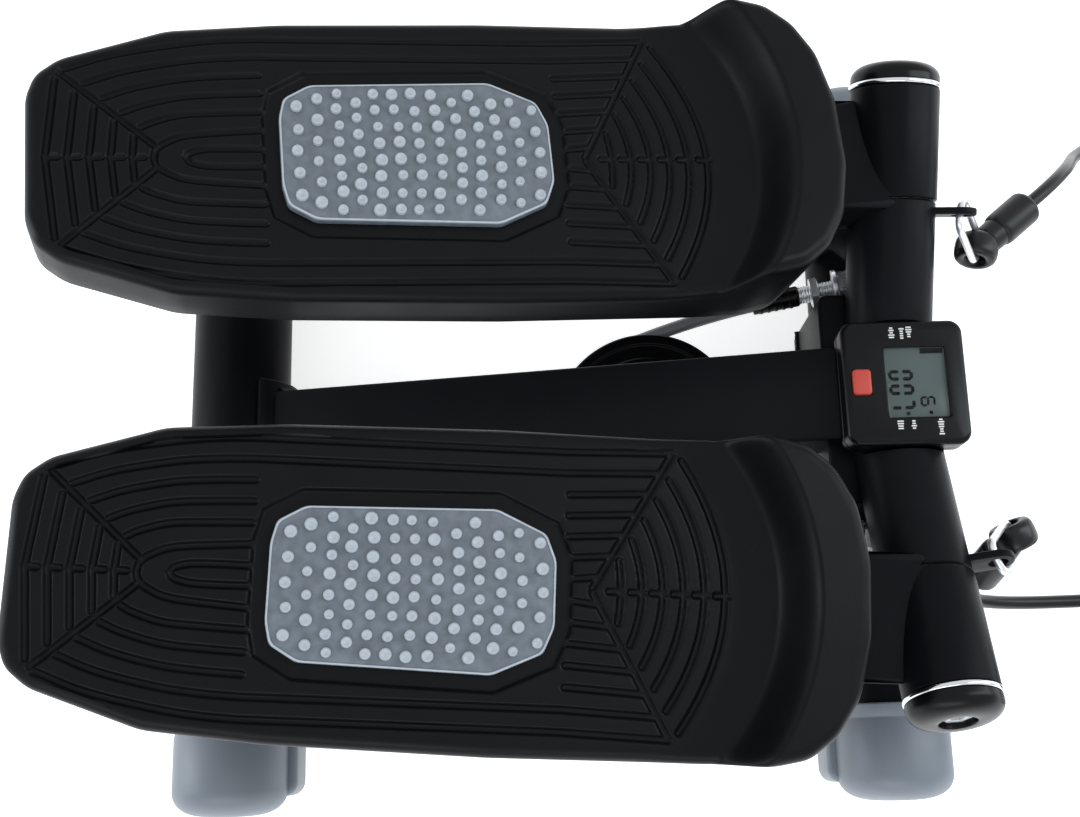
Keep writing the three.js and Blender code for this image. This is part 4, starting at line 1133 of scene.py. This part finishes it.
def stud(r):
    """Round stud with a rounded edge and a shallow dimple."""
    return lathe([(0, -0.6), (r, -0.6), (r, 1.2), (r - 0.15, 1.6), (r - 0.5, 1.85), (r * 0.62, 1.85),
                  (r * 0.45, 1.6), (r * 0.2, 1.42), (0, 1.4)], 28)


def studs_shape():
    """Curved columns of studs, not quite in line, and the raised edge round them."""
    rng = random.Random(11)
    lip = soft_prism(grown_insert(0.2), INSERT_TOP - 0.6, INSERT_TOP + 0.3, 0.25)
    shapes = [boolean(lip, [prism(grown_insert(-0.5), INSERT_TOP - 2, INSERT_TOP + 2)])]
    middle = (len(STUD_COUNTS) - 1) / 2
    for k, count in enumerate(STUD_COUNTS):
        bow = -0.9 + 3.7 * min(1.0, k / 6)
        for i in range(count):
            v = STUD_PITCH[count] * (i - (count - 1) / 2)
            u = 1.4 + STUD_COLUMN * (k - middle) - bow * (v / 24) ** 2
            u += rng.uniform(-0.5, 0.5)
            v += rng.uniform(-0.45, 0.45)
            place = Matrix.Translation((u, v, INSERT_TOP))
            shapes.append(moved(stud(rng.uniform(1.8, 2.4)), place))
    return merged(*shapes)


def clamp_shape():
    strap = soft_prism(round_rect(-42, 44, -15, 21, 3), -4, -2.9, 0.2)
    screw = merged(rod(2.2, -14, -3.4, 20), hexagon(3.6, -3.4, -2.65, 0.2))
    return merged(strap, *[moved(screw, Matrix.Translation((u, v, 0))) for u, v in SCREWS])


def treads():
    tray, studs, clamp = tray_shape(), studs_shape(), clamp_shape()
    pad = soft_prism(grown_insert(0.4, 1.6), -2.3, INSERT_TOP, 0.7)
    for side in SIDES:
        place = to_row(side, PEDAL_FRAME, moving=True)
        piece(f"{side}_pedal_tray", tray, place)
        piece(f"{side}_tread_insert", pad, place)
        # The studs take a lighter copy of the insert's plastic, a painted highlight on their tops.
        trim(f"{side}_tread_studs", f"{side}_tread_insert", studs, "tread_pale", place, "stud_pale_highlit")
        piece(f"{side}_fixing_plate", clamp, place)


# ---- Stage ----

FLOOR_HALF, FLOOR_CELLS = 4.0, 24
SKY, WORLD_STRENGTH = (0.97, 0.985, 1.0, 1), 0.85
LIGHT_TINT = (0.84, 0.92, 1.0)


def floor_material():
    mat = bpy.data.materials.new("floor_pale")
    mat.use_nodes = True
    noise = add_node(mat, "TexNoise", {"Scale": 8})
    tone = add_node(mat, "ValToRGB", {"Fac": noise.outputs["Fac"]})
    for stop, level in zip(tone.color_ramp.elements, (0.90, 0.93)):
        stop.color = (level, level, level, 1)
    connect(mat, mat.node_tree.nodes["Principled BSDF"], {
        "Base Color": tone.outputs["Color"], "Roughness": 0.9, "Specular IOR Level": 0.1,
        "Emission Color": (1, 1, 1, 1), "Emission Strength": 0.7})
    return mat


def make_floor():
    floor = bpy.data.objects.new("floor", bpy.data.meshes.new("floor"))
    bm = bmesh.new()
    bmesh.ops.create_grid(bm, x_segments=FLOOR_CELLS, y_segments=FLOOR_CELLS, size=FLOOR_HALF)
    bm.to_mesh(floor.data)
    bm.free()
    floor.data.materials.append(floor_material())
    bpy.context.collection.objects.link(floor)
    return floor


def area_light(name, at, aim, size_x, size_y, power):
    data = bpy.data.lights.new(name, "AREA")
    data.shape = "RECTANGLE"
    data.size, data.size_y = size_x, size_y
    data.energy = power
    data.color = LIGHT_TINT
    obj = bpy.data.objects.new(name, data)
    bpy.context.collection.objects.link(obj)
    obj.location = at
    obj.rotation_euler = (Vector(aim) - Vector(at)).to_track_quat("-Z", "Y").to_euler()
    return obj


def make_stage():
    world = bpy.data.worlds.new("studio")
    world.use_nodes = True
    connect(world, world.node_tree.nodes["Background"], {"Color": SKY, "Strength": WORLD_STRENGTH})
    bpy.context.scene.world = world
    bpy.context.scene.view_settings.view_transform = "Standard"
    lights = [
        area_light("key_front", (0.95, 0.15, 0.75), (0.1, 0.0, 0.05), 0.35, 1.1, 5),
        area_light("fill_right", (-0.2, -1.1, 0.8), (0, 0, 0.05), 1.2, 0.4, 5),
        area_light("low_heel", (-1.3, 0.05, 0.42), (0.1, 0, 0.15), 0.4, 0.9, 6),
    ]
    make_floor()


# ---- Everything ----

for side in SIDES:
    band(side)
stabilizers()
centre_beam()
front_upright()
hub_tube()
for side in SIDES:
    shafts(side)
monitor()
pulley()
for side in SIDES:
    cable(side)
    damper(side)
    arm(side)
treads()
make_stage()
